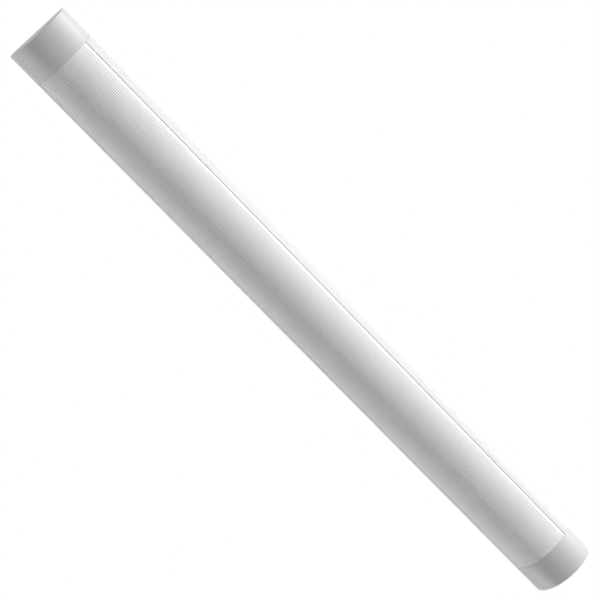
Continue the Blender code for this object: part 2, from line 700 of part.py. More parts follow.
def terminal_block():
    """The three-pole lever terminal's body, with its wire tunnels and lever pockets."""
    base = PLATE_TOP + GAP
    block = box((-BLOCK_HALF_WIDTH, BLOCK_START, base), (BLOCK_HALF_WIDTH, BLOCK_END, BLOCK_TOP))
    ears = BLOCK_SCREW_X + BLOCK_EAR_HALF
    middle = (BLOCK_START + BLOCK_END) / 2
    low = (-ears, middle - BLOCK_EAR_HALF, base)
    join(block, box(low, (ears, middle + BLOCK_EAR_HALF, base + BLOCK_EAR)))
    for x, y in terminal_screw_places():
        cut(block, hole(x, y, base - 1 * MM, base + 3 * MM))
    pocket_floor = LEVER_PIVOT[1] - LEVER_HUB - GAP
    pocket_back = LEVER_PIVOT[0] - LEVER_HUB - GAP
    pocket_half = LEVER_WIDTH / 2 + GAP
    for x in pole_places():
        tunnel_low = (x - TUNNEL_WIDTH / 2, BLOCK_START - 1 * MM, TUNNEL_Z - TUNNEL_HEIGHT / 2)
        tunnel_high = (x + TUNNEL_WIDTH / 2, BLOCK_END + 1 * MM, TUNNEL_Z + TUNNEL_HEIGHT / 2)
        cut(block, box(tunnel_low, tunnel_high))
        pocket_low = (x - pocket_half, pocket_back, pocket_floor)
        cut(block, box(pocket_low, (x + pocket_half, BLOCK_END + 1 * MM, BLOCK_TOP + 1 * MM)))
    reach = BLOCK_HALF_WIDTH + 1 * MM
    cut(block, rod((-reach, *LEVER_PIVOT), (reach, *LEVER_PIVOT), PIVOT_RADIUS + GAP, 12))
    return part(block, "terminal_block", GREY_PLASTIC)


def terminal_lever(name, x):
    """One lever: a hub on the common pivot and an arm with a lifted tip."""
    y, z = LEVER_PIVOT
    arm_under = z - 0.5 * MM
    arm_top = z + 0.8 * MM
    hub = arc((y, z), LEVER_HUB, radians(30), radians(-19) + 2 * pi, 14)
    outline = hub + [(LEVER_TIP_Y, arm_under), (LEVER_TIP_Y, z + 1.4 * MM)]
    outline += [(LEVER_TIP_Y - 0.9 * MM, z + 1.4 * MM), (LEVER_TIP_Y - 1.8 * MM, arm_top)]
    lever = prism([outline], x - LEVER_WIDTH / 2, x + LEVER_WIDTH / 2, "X")
    cut(lever, rod((x - LEVER_WIDTH, y, z), (x + LEVER_WIDTH, y, z), PIVOT_RADIUS + GAP, 12))
    set_origin(lever, (x, y, z))
    return part(lever, name, ORANGE_PLASTIC)


def set_origin(item, point):
    """Put a piece's origin on its joint's axis without moving its shape."""
    item.data.transform(Matrix.Translation(-Vector(point)) @ item.matrix_world)
    item.matrix_world = Matrix.Translation(point)


def terminal():
    """The lever terminal: body, levers, their pivot and the contacts in the tunnels."""
    terminal_block()
    for index, x in enumerate(pole_places(), 1):
        terminal_lever(f"terminal_lever_{index}", x)
        floor = TUNNEL_Z - TUNNEL_HEIGHT / 2 + GAP
        start = BLOCK_START + 5.5 * MM
        half = TUNNEL_WIDTH / 2 - 0.4 * MM
        contact = box((x - half, start, floor), (x + half, start + 6.5 * MM, floor + 0.8 * MM))
        blade = start + 3.2 * MM
        join(contact, box((x - half, blade, floor), (x + half, blade + 0.8 * MM, floor + 2.2 * MM)))
        part(contact, f"terminal_contact_{index}", COPPER)
    reach = BLOCK_HALF_WIDTH - 0.4 * MM
    part(rod((-reach, *LEVER_PIVOT), (reach, *LEVER_PIVOT), PIVOT_RADIUS, 12), "terminal_pivot", BARE_STEEL)
    screw_base = PLATE_TOP + GAP + BLOCK_EAR + GAP
    for index, (x, y) in enumerate(terminal_screw_places(), 1):
        crosshead_screw(f"terminal_screw_{index}", SCREW_M25, x, y, screw_base, FLOOR)


def earth_lug():
    """The crimped ring on the earth wire, under the earth screw."""
    x, y = EARTH_SCREW
    base = PLATE_TOP + GAP
    barrel_z = base + 1.2 * MM
    ring = rod((x, y, base), (x, y, base + EARTH_RING), 3 * MM, 20)
    join(ring, box((x - 1 * MM, y - 4 * MM, base), (x + 1 * MM, y - 2 * MM, base + EARTH_RING)))
    join(ring, rod((x, y - 6.5 * MM, barrel_z), (x, y - 3.6 * MM, barrel_z), 1.15 * MM))
    cut(ring, hole(x, y, base - 1 * MM, base + 2 * MM))
    return part(ring, "earth_lug", COPPER)


def smooth_route(points, spans):
    """A Catmull-Rom curve through hand-chosen points, with a few points on each span."""
    points = [Vector(point) * MM for point in points]
    ends = [points[0] * 2 - points[1]] + points + [points[-1] * 2 - points[-2]]
    route = []
    for index in range(1, len(ends) - 2):
        before, start, end, after = ends[index - 1:index + 3]
        for step in range(spans):
            t = step / spans
            blend = 2 * start + (end - before) * t
            blend += (2 * before - 5 * start + 4 * end - after) * t**2
            blend += (3 * start - before - 3 * end + after) * t**3
            route.append(blend / 2)
    route.append(points[-1])
    return route


def wire(name, points, diameter, finish):
    """An insulated wire along its route."""
    curve = bpy.data.curves.new(name, "CURVE")
    curve.dimensions = "3D"
    curve.bevel_depth = diameter / 2
    curve.bevel_resolution = 2
    curve.use_fill_caps = True
    spline = curve.splines.new("POLY")
    route = smooth_route(points, 3)
    spline.points.add(len(route) - 1)
    for point, place_ in zip(spline.points, route):
        point.co = (*place_, 1)
    item = bpy.data.objects.new(name, curve)
    bpy.context.scene.collection.objects.link(item)
    return part(mesh_from_curve(item), name, finish)


def wiring():
    """The wires inside the lamp, each along its real route, in millimetres."""
    wire("live_wire", [
        (-6.5, 45, 5.2), (-6.5, 53, 5.2), (-7, 66, 2.8), (-8, 80, 2.4), (-8, 222, 2.4),
        (-3, 234, 2.4), (4, 244, 3), (6.2, 256, 4.9), (6.2, 266, 5.4), (6.2, 281, 5.4),
    ], WIRE_MAINS, BROWN_INSULATION)
    wire("neutral_wire", [
        (-9.5, 45, 5.2), (-9.5, 53, 5.2), (-10.4, 66, 2.8), (-11, 80, 2.4), (-11, 226, 2.4),
        (-7, 238, 2.4), (-1.6, 248, 3.2), (0, 257, 5), (0, 266, 5.4), (0, 281, 5.4),
    ], WIRE_MAINS, BLUE_INSULATION)
    wire("earth_wire", [
        (-12.5, 262.6, 4.1), (-12.5, 258, 4.1), (-11.4, 254, 4), (-9.3, 252.6, 4),
        (-7.3, 254.4, 4.3), (-6.3, 260, 5.2), (-6.2, 268, 5.4), (-6.2, 281, 5.4),
    ], WIRE_MAINS, GREEN_YELLOW)
    wire("led_positive_wire", [
        (9.5, 45, 5.2), (9.5, 53, 5.2), (12.4, 66, 2.8), (14.5, 80, 2.4), (14.5, 232, 2.4),
        (14.3, 243, 3), (13.7, 251, 5.4), (13.4, 253.2, 9), (13.2, 253.3, 12), (11.6, 253.3, 14),
        (8.2, 253.3, 14.2), (6, 253.3, 14.2),
    ], WIRE_LED, RED_INSULATION)
    wire("led_negative_wire", [
        (6.5, 45, 5.2), (6.5, 53, 5.2), (9, 66, 2.8), (11, 80, 2.4), (11, 236, 2.4),
        (11.4, 247, 3), (12.8, 254.6, 5.4), (13.4, 256.3, 9), (13.2, 256.5, 12), (11.6, 256.5, 14),
        (8.2, 256.5, 14.2), (6, 256.5, 14.2),
    ], WIRE_LED, BLACK_INSULATION)


def fasteners():
    """The screws and rivets that hold the tray, boards, driver and terminal plate."""
    for index, y in enumerate(board_screw_places(), 1):
        crosshead_screw(f"board_screw_{index}", SCREW_M25, 0, y, BOARD_FACE + GAP, TRAY_TOP - TRAY_SHEET)
    corners = [(side * RIVET_X, end * RIVET_Y) for end in (-1, 1) for side in (-1, 1)]
    for index, (x, y) in enumerate(corners, 1):
        rivet(f"tray_rivet_{index}", x, y)
    for index, (x, y) in enumerate(driver_screw_places(), 1):
        crosshead_screw(f"driver_screw_{index}", SCREW_M25, x, y, FLOOR + DRIVER_WALL + GAP, TIP)
    crosshead_screw("plate_screw", SCREW_M3, *PLATE_SCREW, PLATE_TOP + GAP, TIP)
    crosshead_screw("earth_screw", SCREW_M3, *EARTH_SCREW, PLATE_TOP + 2 * GAP + EARTH_RING, TIP)


clear_scene()
LAMP = new_collection("led_light_tube")
CUTTERS = new_collection("cutters")

base_housing()
diffuser()
end_cap("end_cap_left", -1)
cable_inlet(end_cap("end_cap_right", 1))
gear_tray()
led_board("led_board_1", BOARD_STARTS[0])
led_board("led_board_2", BOARD_STARTS[1])
board_link()
board_connector()
driver_case()
driver_boards()
driver_components()
terminal_plate()
terminal()
earth_lug()
wiring()
fasteners()
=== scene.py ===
"""Looks of the LED light tube: its shells, ribs, boards and finishes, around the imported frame.

The lamp lies on its flat back: X across the width, Y along the length, Z out towards the
diffuser's crown. All sizes are in metres.
"""

import json
from math import asin, cos, pi, radians, sin

import bmesh
import bpy
from mathutils import Matrix, Quaternion, Vector


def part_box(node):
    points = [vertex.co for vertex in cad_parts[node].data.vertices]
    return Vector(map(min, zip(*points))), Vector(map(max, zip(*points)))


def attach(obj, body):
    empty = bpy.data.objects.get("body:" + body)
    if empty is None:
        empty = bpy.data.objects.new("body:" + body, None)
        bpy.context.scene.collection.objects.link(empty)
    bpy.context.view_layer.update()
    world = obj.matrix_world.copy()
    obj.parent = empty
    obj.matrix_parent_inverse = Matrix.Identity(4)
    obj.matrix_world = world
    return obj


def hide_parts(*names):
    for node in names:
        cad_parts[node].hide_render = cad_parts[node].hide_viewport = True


MM = 0.001

# Cross-section
SIDE_WALL = 7.8 * MM  # upright side, from the back up to the crown
GROOVE_X = 23.76 * MM
GROOVE_WIDTH = 0.5 * MM
BACK_ROUNDING = 1.1 * MM
CAP_ROUNDING = 0.5 * MM
SHOULDER_ROUNDING = 1.2 * MM  # where an upright side meets the crown
SEAM_GAP = 0.1 * MM  # what shows between a cap and the body
WALL = 1.3 * MM
LIP = 1.0 * MM
FIT = 0.3 * MM
CAP_WALL = 1.6 * MM
CAP_END_WALL = 2.4 * MM
DIFFUSER_WALL = 1.5 * MM
DIFFUSER_SINK = 0.15 * MM
SLOT_DEPTH = 2.0 * MM  # of the housing's slots, past the groove
TONGUE_DEPTH = 1.6 * MM  # of the diffuser's tongues in them
TONGUE_THICKNESS = 0.6 * MM
RIB_PITCH = 1.335 * MM
RIB_COUNT = 33
RIBS_END = RIB_COUNT * RIB_PITCH / 2  # from the middle line
RIB_DEPTH = 0.25 * MM
RIB_SHARPNESS = 1.5  # 1 is a round rib, more is a flatter rib with a narrower valley
RIB_STEPS = 12  # points on each rib

# Holes and cutters
KEYHOLE_Y = 200 * MM
FIXING_HOLE = 1.5 * MM  # radius for every screw and rivet
PIN_BORE = 0.9 * MM  # radius for the levers' pin
PAST = 1 * MM  # how far a cutter runs beyond the face that it opens

# LED boards and wires
CHIP_PITCH = 10.2 * MM
CHIP_COUNT = 25
CHIP_FIRST = 6 * MM
CHIP_HALF_WIDE = 1.4 * MM
CHIP_HALF_LONG = 1.75 * MM
CHIP_HEIGHT = 0.7 * MM
WIRE_MAINS = 1.6 * MM
WIRE_LED = 1.3 * MM

# Lever terminal
BLOCK_HALF = 9.8 * MM
BLOCK_GROOVE = 3.1 * MM  # from the middle to each groove between the levers
EAR_HOLE = 12.4 * MM
EAR_HALF_LONG = 3 * MM
EAR_HEIGHT = 1.6 * MM

# Camera: where it stands, what it looks at, and how far it is rolled, fitted to the photograph's perspective
EYE = (-0.4239, -0.4458, 1.3970)
TARGET = (-0.0026, -0.0195, 0.0110)
ROLL = -177.34  # degrees
LENS = 118.2
SENSOR = 36.0

# Stage and light. Each strip: azimuth from +X towards +Y, elevation (degrees), power (watts).
# The powers are a least-squares fit to the photograph's shading
FLOOR_SIZE = 8.0
FLOOR_LEVEL = -0.2 * MM  # just clear of the flat back, so the two never share a plane
SKY = 0.073
STRIP_DISTANCE = 2.0
STRIP_SIZE = (1.5, 0.35)
STRIPS = (
    (0, 15, 7.6),
    (45, 15, 9.9),
    (90, 42, 1.1),
    (135, 5, 8.4),
    (180, 5, 33.6),
    (180, 27, 6.8),
    (315, 15, 9.2),
    (0, 90, 2.2),
)

# Inner finishes by material slot. Metals: roughness and streaks per metre along X, Y, Z.
# The others: roughness, grain per metre, relief in metres, variation in tone
WAVE_SPAN = 0.314  # a wave texture of scale 1 repeats over this many metres
METALS = {
    "bare_steel": (0.35, (900.0, 60.0, 900.0)),
    "bare_aluminium": (0.42, (500.0, 500.0, 500.0)),
    "copper": (0.3, (400.0, 400.0, 400.0)),
}
FINISHES = {
    "white_paint": (0.5, 1500.0, 0.00001, 0.03),
    "white_board": (0.4, 700.0, 0.000006, 0.05),
    "green_board": (0.35, 500.0, 0.000015, 0.3),
    "black_plastic": (0.5, 1400.0, 0.00002, 0.15),
    "grey_plastic": (0.45, 1200.0, 0.000012, 0.06),
    "orange_plastic": (0.35, 1000.0, 0.000008, 0.05),
    "transformer_tape": (0.35, 300.0, 0.00003, 0.2),
    "can_sleeve": (0.3, 600.0, 0.00001, 0.1),
    "glass_tube": (0.15, 300.0, 0.000004, 0.1),
}

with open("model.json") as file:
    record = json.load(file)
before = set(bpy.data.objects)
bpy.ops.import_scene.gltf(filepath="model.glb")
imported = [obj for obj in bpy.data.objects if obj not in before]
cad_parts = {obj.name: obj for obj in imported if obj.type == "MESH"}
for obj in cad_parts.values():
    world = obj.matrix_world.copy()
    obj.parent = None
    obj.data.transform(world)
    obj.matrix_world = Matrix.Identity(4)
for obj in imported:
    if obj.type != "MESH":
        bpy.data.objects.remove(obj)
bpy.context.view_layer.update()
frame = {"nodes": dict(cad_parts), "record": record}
RECORD = frame["record"]


def node_box(node):
    """The lowest and highest corner of a CAD node, as vectors."""
    low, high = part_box(node)
    return Vector(low), Vector(high)


def node_middle(node):
    """The middle of a CAD node's box."""
    low, high = node_box(node)
    return (low + high) / 2


HOUSING_LOW, HOUSING_HIGH = node_box("base_housing")
CAP_LOW, CAP_HIGH = node_box("end_cap_left")

HALF_WIDTH = HOUSING_HIGH.x
HEIGHT = CAP_HIGH.z
LENGTH_LOW = CAP_LOW.y
LENGTH_HIGH = node_box("end_cap_right")[1].y
CLOSING = (FIT - SEAM_GAP) / 2
BODY_LOW = HOUSING_LOW.y - CLOSING
BODY_HIGH = HOUSING_HIGH.y + CLOSING
CROWN = HEIGHT - SIDE_WALL
CROWN_RADIUS = (HALF_WIDTH**2 + CROWN**2) / (2 * CROWN)
CROWN_CENTRE = HEIGHT - CROWN_RADIUS
EDGE_ANGLE = asin(HALF_WIDTH / CROWN_RADIUS)
GROOVE_ANGLE = asin(GROOVE_X / CROWN_RADIUS)


# Materials -----------------------------------------------------------------

def new_material(name):
    """A node material with its shader and object-space coordinates."""
    made = bpy.data.materials.new(name)
    made.use_nodes = True
    nodes = made.node_tree.nodes
    shader = nodes["Principled BSDF"]
    place = nodes.new("ShaderNodeTexCoord")
    return made, shader, place.outputs["Object"]


def noise(made, source, scale, detail=3.0):
    """A noise texture's value, at a scale in features per metre."""
    node = made.node_tree.nodes.new("ShaderNodeTexNoise")
    node.inputs["Scale"].default_value = scale
    node.inputs["Detail"].default_value = detail
    made.node_tree.links.new(source, node.inputs["Vector"])
    return node.outputs["Fac"]


def ramp(made, value, low, high):
    """A value from 0 to 1 spread over a range of numbers."""
    node = made.node_tree.nodes.new("ShaderNodeMapRange")
    node.inputs["To Min"].default_value = low
    node.inputs["To Max"].default_value = high
    made.node_tree.links.new(value, node.inputs["Value"])
    return node.outputs["Result"]


def mixed(made, value, first, second):
    """A colour between two, by a value."""
    node = made.node_tree.nodes.new("ShaderNodeMix")
    node.data_type = "RGBA"
    node.inputs["A"].default_value = (*first, 1)
    node.inputs["B"].default_value = (*second, 1)
    made.node_tree.links.new(value, node.inputs["Factor"])
    return node.outputs["Result"]


def bump(made, shader, value, distance, strength=1.0):
    """Relief on the shader from a value, by a height in metres."""
    node = made.node_tree.nodes.new("ShaderNodeBump")
    node.inputs["Distance"].default_value = distance
    node.inputs["Strength"].default_value = strength
    made.node_tree.links.new(value, node.inputs["Height"])
    made.node_tree.links.new(node.outputs["Normal"], shader.inputs["Normal"])


def moulded(name, colour, roughness, grain=900.0, relief=0.00001, variation=0.02):
    """Moulded plastic: a fine grain, and a slow variation in tone and gloss."""
    made, shader, place = new_material(name)
    slow = noise(made, place, 25.0, 2.0)
    dark = tuple(channel * (1 - variation) for channel in colour)
    made.node_tree.links.new(mixed(made, slow, dark, colour), shader.inputs["Base Color"])
    made.node_tree.links.new(ramp(made, slow, roughness - 0.05, roughness + 0.05), shader.inputs["Roughness"])
    bump(made, shader, noise(made, place, grain, 4.0), relief)
    return made


def opal_with_painted_highlight(name, colour, painted_highlight_colour, edge):
    """Opal plastic with a painted highlight: whiter beyond a distance from the lamp's middle line, on the
    smooth edge strips, where they catch the grazing light.
    """
    fade = 0.1 * MM
    made = moulded(name, colour, 0.35, 1200.0, 0.000005)
    nodes = made.node_tree.nodes
    links = made.node_tree.links
    shader = nodes["Principled BSDF"]
    toned = shader.inputs["Base Color"].links[0].from_socket
    axes = nodes.new("ShaderNodeSeparateXYZ")
    links.new(nodes["Texture Coordinate"].outputs["Object"], axes.inputs["Vector"])
    side = nodes.new("ShaderNodeMath")
    side.operation = "ABSOLUTE"
    links.new(axes.outputs["X"], side.inputs[0])
    step = nodes.new("ShaderNodeMapRange")
    step.inputs["From Min"].default_value = edge - fade
    step.inputs["From Max"].default_value = edge + fade
    links.new(side.outputs["Value"], step.inputs["Value"])
    # Painted highlight: past the edge distance the colour turns to the whiter highlight colour
    both = nodes.new("ShaderNodeMix")
    both.data_type = "RGBA"
    links.new(step.outputs["Result"], both.inputs["Factor"])
    links.new(toned, both.inputs["A"])
    both.inputs["B"].default_value = (*painted_highlight_colour, 1)
    links.new(both.outputs["Result"], shader.inputs["Base Color"])
    return made


def bare_metal(name, colour, roughness, streak=(300.0, 300.0, 300.0)):
    """Bare metal: streaks of gloss along its rolling direction, and a slow change of tone."""
    made, shader, place = new_material(name)
    shader.inputs["Metallic"].default_value = 1.0
    links = made.node_tree.links
    stretch = made.node_tree.nodes.new("ShaderNodeMapping")
    stretch.inputs["Scale"].default_value = streak
    links.new(place, stretch.inputs["Vector"])
    streaks = noise(made, stretch.outputs["Vector"], 4.0, 4.0)
    dark = tuple(channel * 0.85 for channel in colour)
    links.new(mixed(made, noise(made, place, 60.0), dark, colour), shader.inputs["Base Color"])
    links.new(ramp(made, streaks, roughness - 0.08, roughness + 0.1), shader.inputs["Roughness"])
    bump(made, shader, streaks, 0.000008)
    return made


def striped(name, first, second, width):
    """Insulation in two colours, in stripes that run along the wire."""
    made, shader, place = new_material(name)
    wave = made.node_tree.nodes.new("ShaderNodeTexWave")
    wave.bands_direction = "X"
    wave.inputs["Scale"].default_value = WAVE_SPAN / width
    wave.inputs["Distortion"].default_value = 0.3
    links = made.node_tree.links
    links.new(place, wave.inputs["Vector"])
    sharp = made.node_tree.nodes.new("ShaderNodeMapRange")
    sharp.inputs["From Min"].default_value = 0.45
    sharp.inputs["From Max"].default_value = 0.55
    links.new(wave.outputs["Fac"], sharp.inputs["Value"])
    links.new(mixed(made, sharp.outputs["Result"], first, second), shader.inputs["Base Color"])
    links.new(ramp(made, noise(made, place, 200.0), 0.4, 0.55), shader.inputs["Roughness"])
    bump(made, shader, noise(made, place, 2500.0), 0.000006)
    return made


def slot_finish(slot, colour):
    """The finish of one of the record's material slots, for the inner pieces."""
    if slot in METALS:
        roughness, streak = METALS[slot]
        return bare_metal(f"{slot}_finish", colour, roughness, streak)
    if slot == "earth_insulation":
        return striped("earth_insulation_finish", (0.05, 0.3, 0.06), (0.75, 0.6, 0.04), 2.2 * MM)
    roughness, grain, relief, variation = FINISHES.get(slot, (0.45, 900.0, 0.00001, 0.05))
    return moulded(f"{slot}_finish", colour, roughness, grain, relief, variation)


def stage_floor():
    """The plain pale floor: evenly white to the camera and in the gloss, and a soft bounce."""
    made, shader, place = new_material("floor_white")
    tone = noise(made, place, 3.0, 2.0)
    pale = mixed(made, tone, (0.78, 0.78, 0.78), (0.82, 0.82, 0.82))
    made.node_tree.links.new(pale, shader.inputs["Base Color"])
    shader.inputs["Roughness"].default_value = 0.9
    nodes = made.node_tree.nodes
    links = made.node_tree.links
    glow = nodes.new("ShaderNodeEmission")
    glow.inputs["Strength"].default_value = 1.0
    seen = nodes.new("ShaderNodeLightPath")
    bright = nodes.new("ShaderNodeMath")
    bright.operation = "MAXIMUM"
    links.new(seen.outputs["Is Camera Ray"], bright.inputs[0])
    links.new(seen.outputs["Is Glossy Ray"], bright.inputs[1])
    choice = nodes.new("ShaderNodeMixShader")
    links.new(bright.outputs["Value"], choice.inputs["Fac"])
    links.new(shader.outputs["BSDF"], choice.inputs[1])
    links.new(glow.outputs["Emission"], choice.inputs[2])
    links.new(choice.outputs["Shader"], nodes["Material Output"].inputs["Surface"])
    bpy.ops.mesh.primitive_plane_add(size=FLOOR_SIZE, location=(0, 0, FLOOR_LEVEL))
    floor = bpy.context.active_object
    floor.name = "floor"
    floor.data.materials.append(made)


# Shapes ----------------------------------------------------------------------

def polar(radius, angle):
    """A point of the cross-section, by radius and angle from the crown's centre line."""
    return (radius * sin(angle), CROWN_CENTRE + radius * cos(angle))


def crown(radius, start, end, segments):
    """Points along the crown, or along a curve at another radius under it."""
    step = (end - start) / segments
    return [polar(radius, start + step * index) for index in range(segments + 1)]


def arc(centre, radius, start, end, segments):
    """Points on an arc, angles in radians from +X."""
    step = (end - start) / segments
    turns = [start + step * index for index in range(segments + 1)]
    return [(centre[0] + radius * cos(turn), centre[1] + radius * sin(turn)) for turn in turns]


def both_sides(half):
    """Close a right-hand half outline with its mirror image."""
    return half + [(-x, z) for x, z in reversed(half)]


def piece_from(shape, name, material, sharp=35):
    """A new object from a bmesh, shaded smooth with sharp edges."""
    bmesh.ops.recalc_face_normals(shape, faces=shape.faces)
    mesh = bpy.data.meshes.new(name)
    shape.to_mesh(mesh)
    shape.free()
    mesh.materials.append(material)
    mesh.shade_smooth()
    mesh.set_sharp_from_angle(angle=radians(sharp))
    piece = bpy.data.objects.new(name, mesh)
    bpy.context.scene.collection.objects.link(piece)
    return piece


def loft(rings, closed_ends=True):
    """A skin through rings that have the same number of points; (x, z) pairs at a y each."""
    shape = bmesh.new()
    loops = [[shape.verts.new((x, y, z)) for x, z in outline] for y, outline in rings]
    for first, second in zip(loops, loops[1:]):
        count = len(first)
        for index in range(count):
            after = (index + 1) % count
            shape.faces.new((first[index], first[after], second[after], second[index]))
    if closed_ends:
        shape.faces.new(loops[0])
        shape.faces.new(list(reversed(loops[-1])))
    return shape


def outline_prism(name, outline, low, high, material, sharp=35):
    """A straight bar of the given cross-section between two places along Y."""
    return piece_from(loft([(low, outline), (high, outline)]), name, material, sharp)


def soften(outline, corners, steps=4):
    """Round chosen corners of an outline: {index: radius}, each with a short curve."""
    softened = []
    count = len(outline)
    for index, point in enumerate(outline):
        if index not in corners:
            softened.append(point)
            continue
        here = Vector(point)
        before = Vector(outline[index - 1]) - here
        after = Vector(outline[(index + 1) % count]) - here
        start = here + before.normalized() * min(corners[index], before.length * 0.45)
        end = here + after.normalized() * min(corners[index], after.length * 0.45)
        for step in range(steps + 1):
            t = step / steps
            curve = start * (1 - t) ** 2 + here * 2 * t * (1 - t) + end * t**2
            softened.append((curve.x, curve.y))
    return softened


def box_shape(low, high):
    """A box between two corners, as a bmesh."""
    shape = bmesh.new()
    low, high = Vector(low), Vector(high)
    size = high - low
    place = Matrix.Translation((low + high) / 2) @ Matrix.Diagonal((*size, 1))
    bmesh.ops.create_cube(shape, size=1, matrix=place)
    return shape


def rod_shape(start, end, radius, sides=48):
    """A cylinder between two points, as a bmesh."""
    start, end = Vector(start), Vector(end)
    turn = (end - start).to_track_quat("Z", "Y").to_matrix().to_4x4()
    shape = bmesh.new()
    bmesh.ops.create_cone(
        shape,
        cap_ends=True,
        segments=sides,
        radius1=radius,
        radius2=radius,
        depth=(end - start).length,
        matrix=Matrix.Translation((start + end) / 2) @ turn,
    )
    return shape


def upright_hole(x, y, low, high):
    """A cutter for a screw or rivet hole along Z."""
    return rod_shape((x, y, low), (x, y, high), FIXING_HOLE, 32)


def flat_shape(outline, low, high):
    """A plate of the given XY outline between two heights, as a bmesh."""
    shape = bmesh.new()
    bottom = [shape.verts.new((x, y, low)) for x, y in outline]
    top = [shape.verts.new((x, y, high)) for x, y in outline]
    for index in range(len(outline)):
        after = (index + 1) % len(outline)
        shape.faces.new((bottom[index], bottom[after], top[after], top[index]))
    shape.faces.new(list(reversed(bottom)))
    shape.faces.new(top)
    return shape


def boolean(piece, shapes, operation, sharp=35):
    """Cut helper shapes from a piece, or join them to it, and keep the result as its mesh."""
    helpers = []
    for shape in shapes:
        bmesh.ops.recalc_face_normals(shape, faces=shape.faces)
        mesh = bpy.data.meshes.new("helper")
        shape.to_mesh(mesh)
        shape.free()
        helper = bpy.data.objects.new("helper", mesh)
        bpy.context.scene.collection.objects.link(helper)
        helpers.append(helper)
        change = piece.modifiers.new("change", "BOOLEAN")
        change.operation = operation
        change.solver = "EXACT"
        change.object = helper
    bpy.context.view_layer.update()
    evaluated = piece.evaluated_get(bpy.context.evaluated_depsgraph_get())
    mesh = bpy.data.meshes.new_from_object(evaluated)
    piece.modifiers.clear()
    piece.data = mesh
    mesh.shade_smooth()
    mesh.set_sharp_from_angle(angle=radians(sharp))
    for helper in helpers:
        bpy.data.objects.remove(helper, do_unlink=True)
    return piece


def turned_shape(profile, steps=48):
    """A solid turned about Z from (radius, height) points, top to bottom on its outer side."""
    shape = bmesh.new()
    rings = []
    for radius, height in profile:
        if radius == 0:
            rings.append([shape.verts.new((0, 0, height))])
            continue
        turns = [2 * pi * step / steps for step in range(steps)]
        rings.append([shape.verts.new((radius * cos(t), radius * sin(t), height)) for t in turns])
    if profile[0][0] > 0:
        rings.append(rings[0])
    for upper, lower in zip(rings, rings[1:]):
        for index in range(steps):
            after = (index + 1) % steps
            if len(upper) == 1:
                shape.faces.new((upper[0], lower[index], lower[after]))
            elif len(lower) == 1:
                shape.faces.new((upper[index], lower[0], upper[after]))
            else:
                shape.faces.new((upper[index], lower[index], lower[after], upper[after]))
    return shape


# The lamp's outside ------------------------------------------------------------

def keyhole_shape(y):
    """A cutter for a keyhole slot through the back plate."""
    head = 4.3 * MM
    slot = 2.3 * MM
    length = 9 * MM
    half_angle = asin(slot / head)
    outline = arc((0, y), head, pi / 2 + half_angle, pi / 2 + 2 * pi - half_angle, 40)
    outline += arc((0, y + length), slot, 0, pi, 16)
    return flat_shape(outline, -PAST, WALL + 2 * FIT)


def housing_outline():
    """The extrusion's section: back plate, upright sides, and a slotted band on each side."""
    rounding = arc((HALF_WIDTH - BACK_ROUNDING, BACK_ROUNDING), BACK_ROUNDING, -pi / 2, 0, 8)
    lip_angle = GROOVE_ANGLE + GROOVE_WIDTH / 2 / CROWN_RADIUS
    slot_top = CROWN_RADIUS - LIP
    slot_floor = slot_top - 2 * FIT - TONGUE_THICKNESS
    slot_end = GROOVE_ANGLE + SLOT_DEPTH / CROWN_RADIUS
    shelf_tip = radians(46)
    shelf_root = radians(55)
    shelf_under = slot_floor - 1.0 * MM
    inner_x = HALF_WIDTH - WALL
    inner_top = 5.2 * MM
    band = crown(CROWN_RADIUS, EDGE_ANGLE, lip_angle, 8)
    slot = crown(slot_top, lip_angle, slot_end, 4)
    floor = crown(slot_floor, slot_end, shelf_tip, 6)
    under = crown(shelf_under, shelf_tip, shelf_root, 6)
    half = rounding + band + slot + floor + under + [(inner_x, inner_top)]
    half += arc((inner_x - WALL, 2 * WALL), WALL, 0, -pi / 2, 6)
    shoulder = len(rounding)
    lip = shoulder + len(band) - 1
    corners = {shoulder: SHOULDER_ROUNDING, lip: 0.25 * MM, lip + 1: 0.15 * MM}
    corners[lip + len(slot) + len(floor)] = 0.2 * MM
    return both_sides(soften(half, corners))


def make_housing(finish):
    """The white extrusion, with its keyholes and fixing holes."""
    housing = outline_prism("housing_shell", housing_outline(), BODY_LOW, BODY_HIGH, finish)
    cuts = [keyhole_shape(-KEYHOLE_Y), keyhole_shape(KEYHOLE_Y)]
    holders = [name for name in frame["nodes"] if name.startswith(("tray_rivet", "driver_screw"))]
    for name in holders + ["plate_screw", "earth_screw"]:
        middle = node_middle(name)
        cuts.append(upright_hole(middle.x, middle.y, -PAST, WALL + FIT))
    boolean(housing, cuts, "DIFFERENCE")
    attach(housing, "housing")
    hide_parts("base_housing")


def rib_points(outer):
    """The ribbed face from the centre outwards: round ridges with fine valleys between."""
    points = []
    for step in range(1, RIB_COUNT * RIB_STEPS // 2 + 1):
        across = step * RIB_PITCH / RIB_STEPS
        drop = RIB_DEPTH * (1 - abs(cos(pi * across / RIB_PITCH))) ** RIB_SHARPNESS
        points.append(polar(outer - drop, asin(across / outer)))
    return points


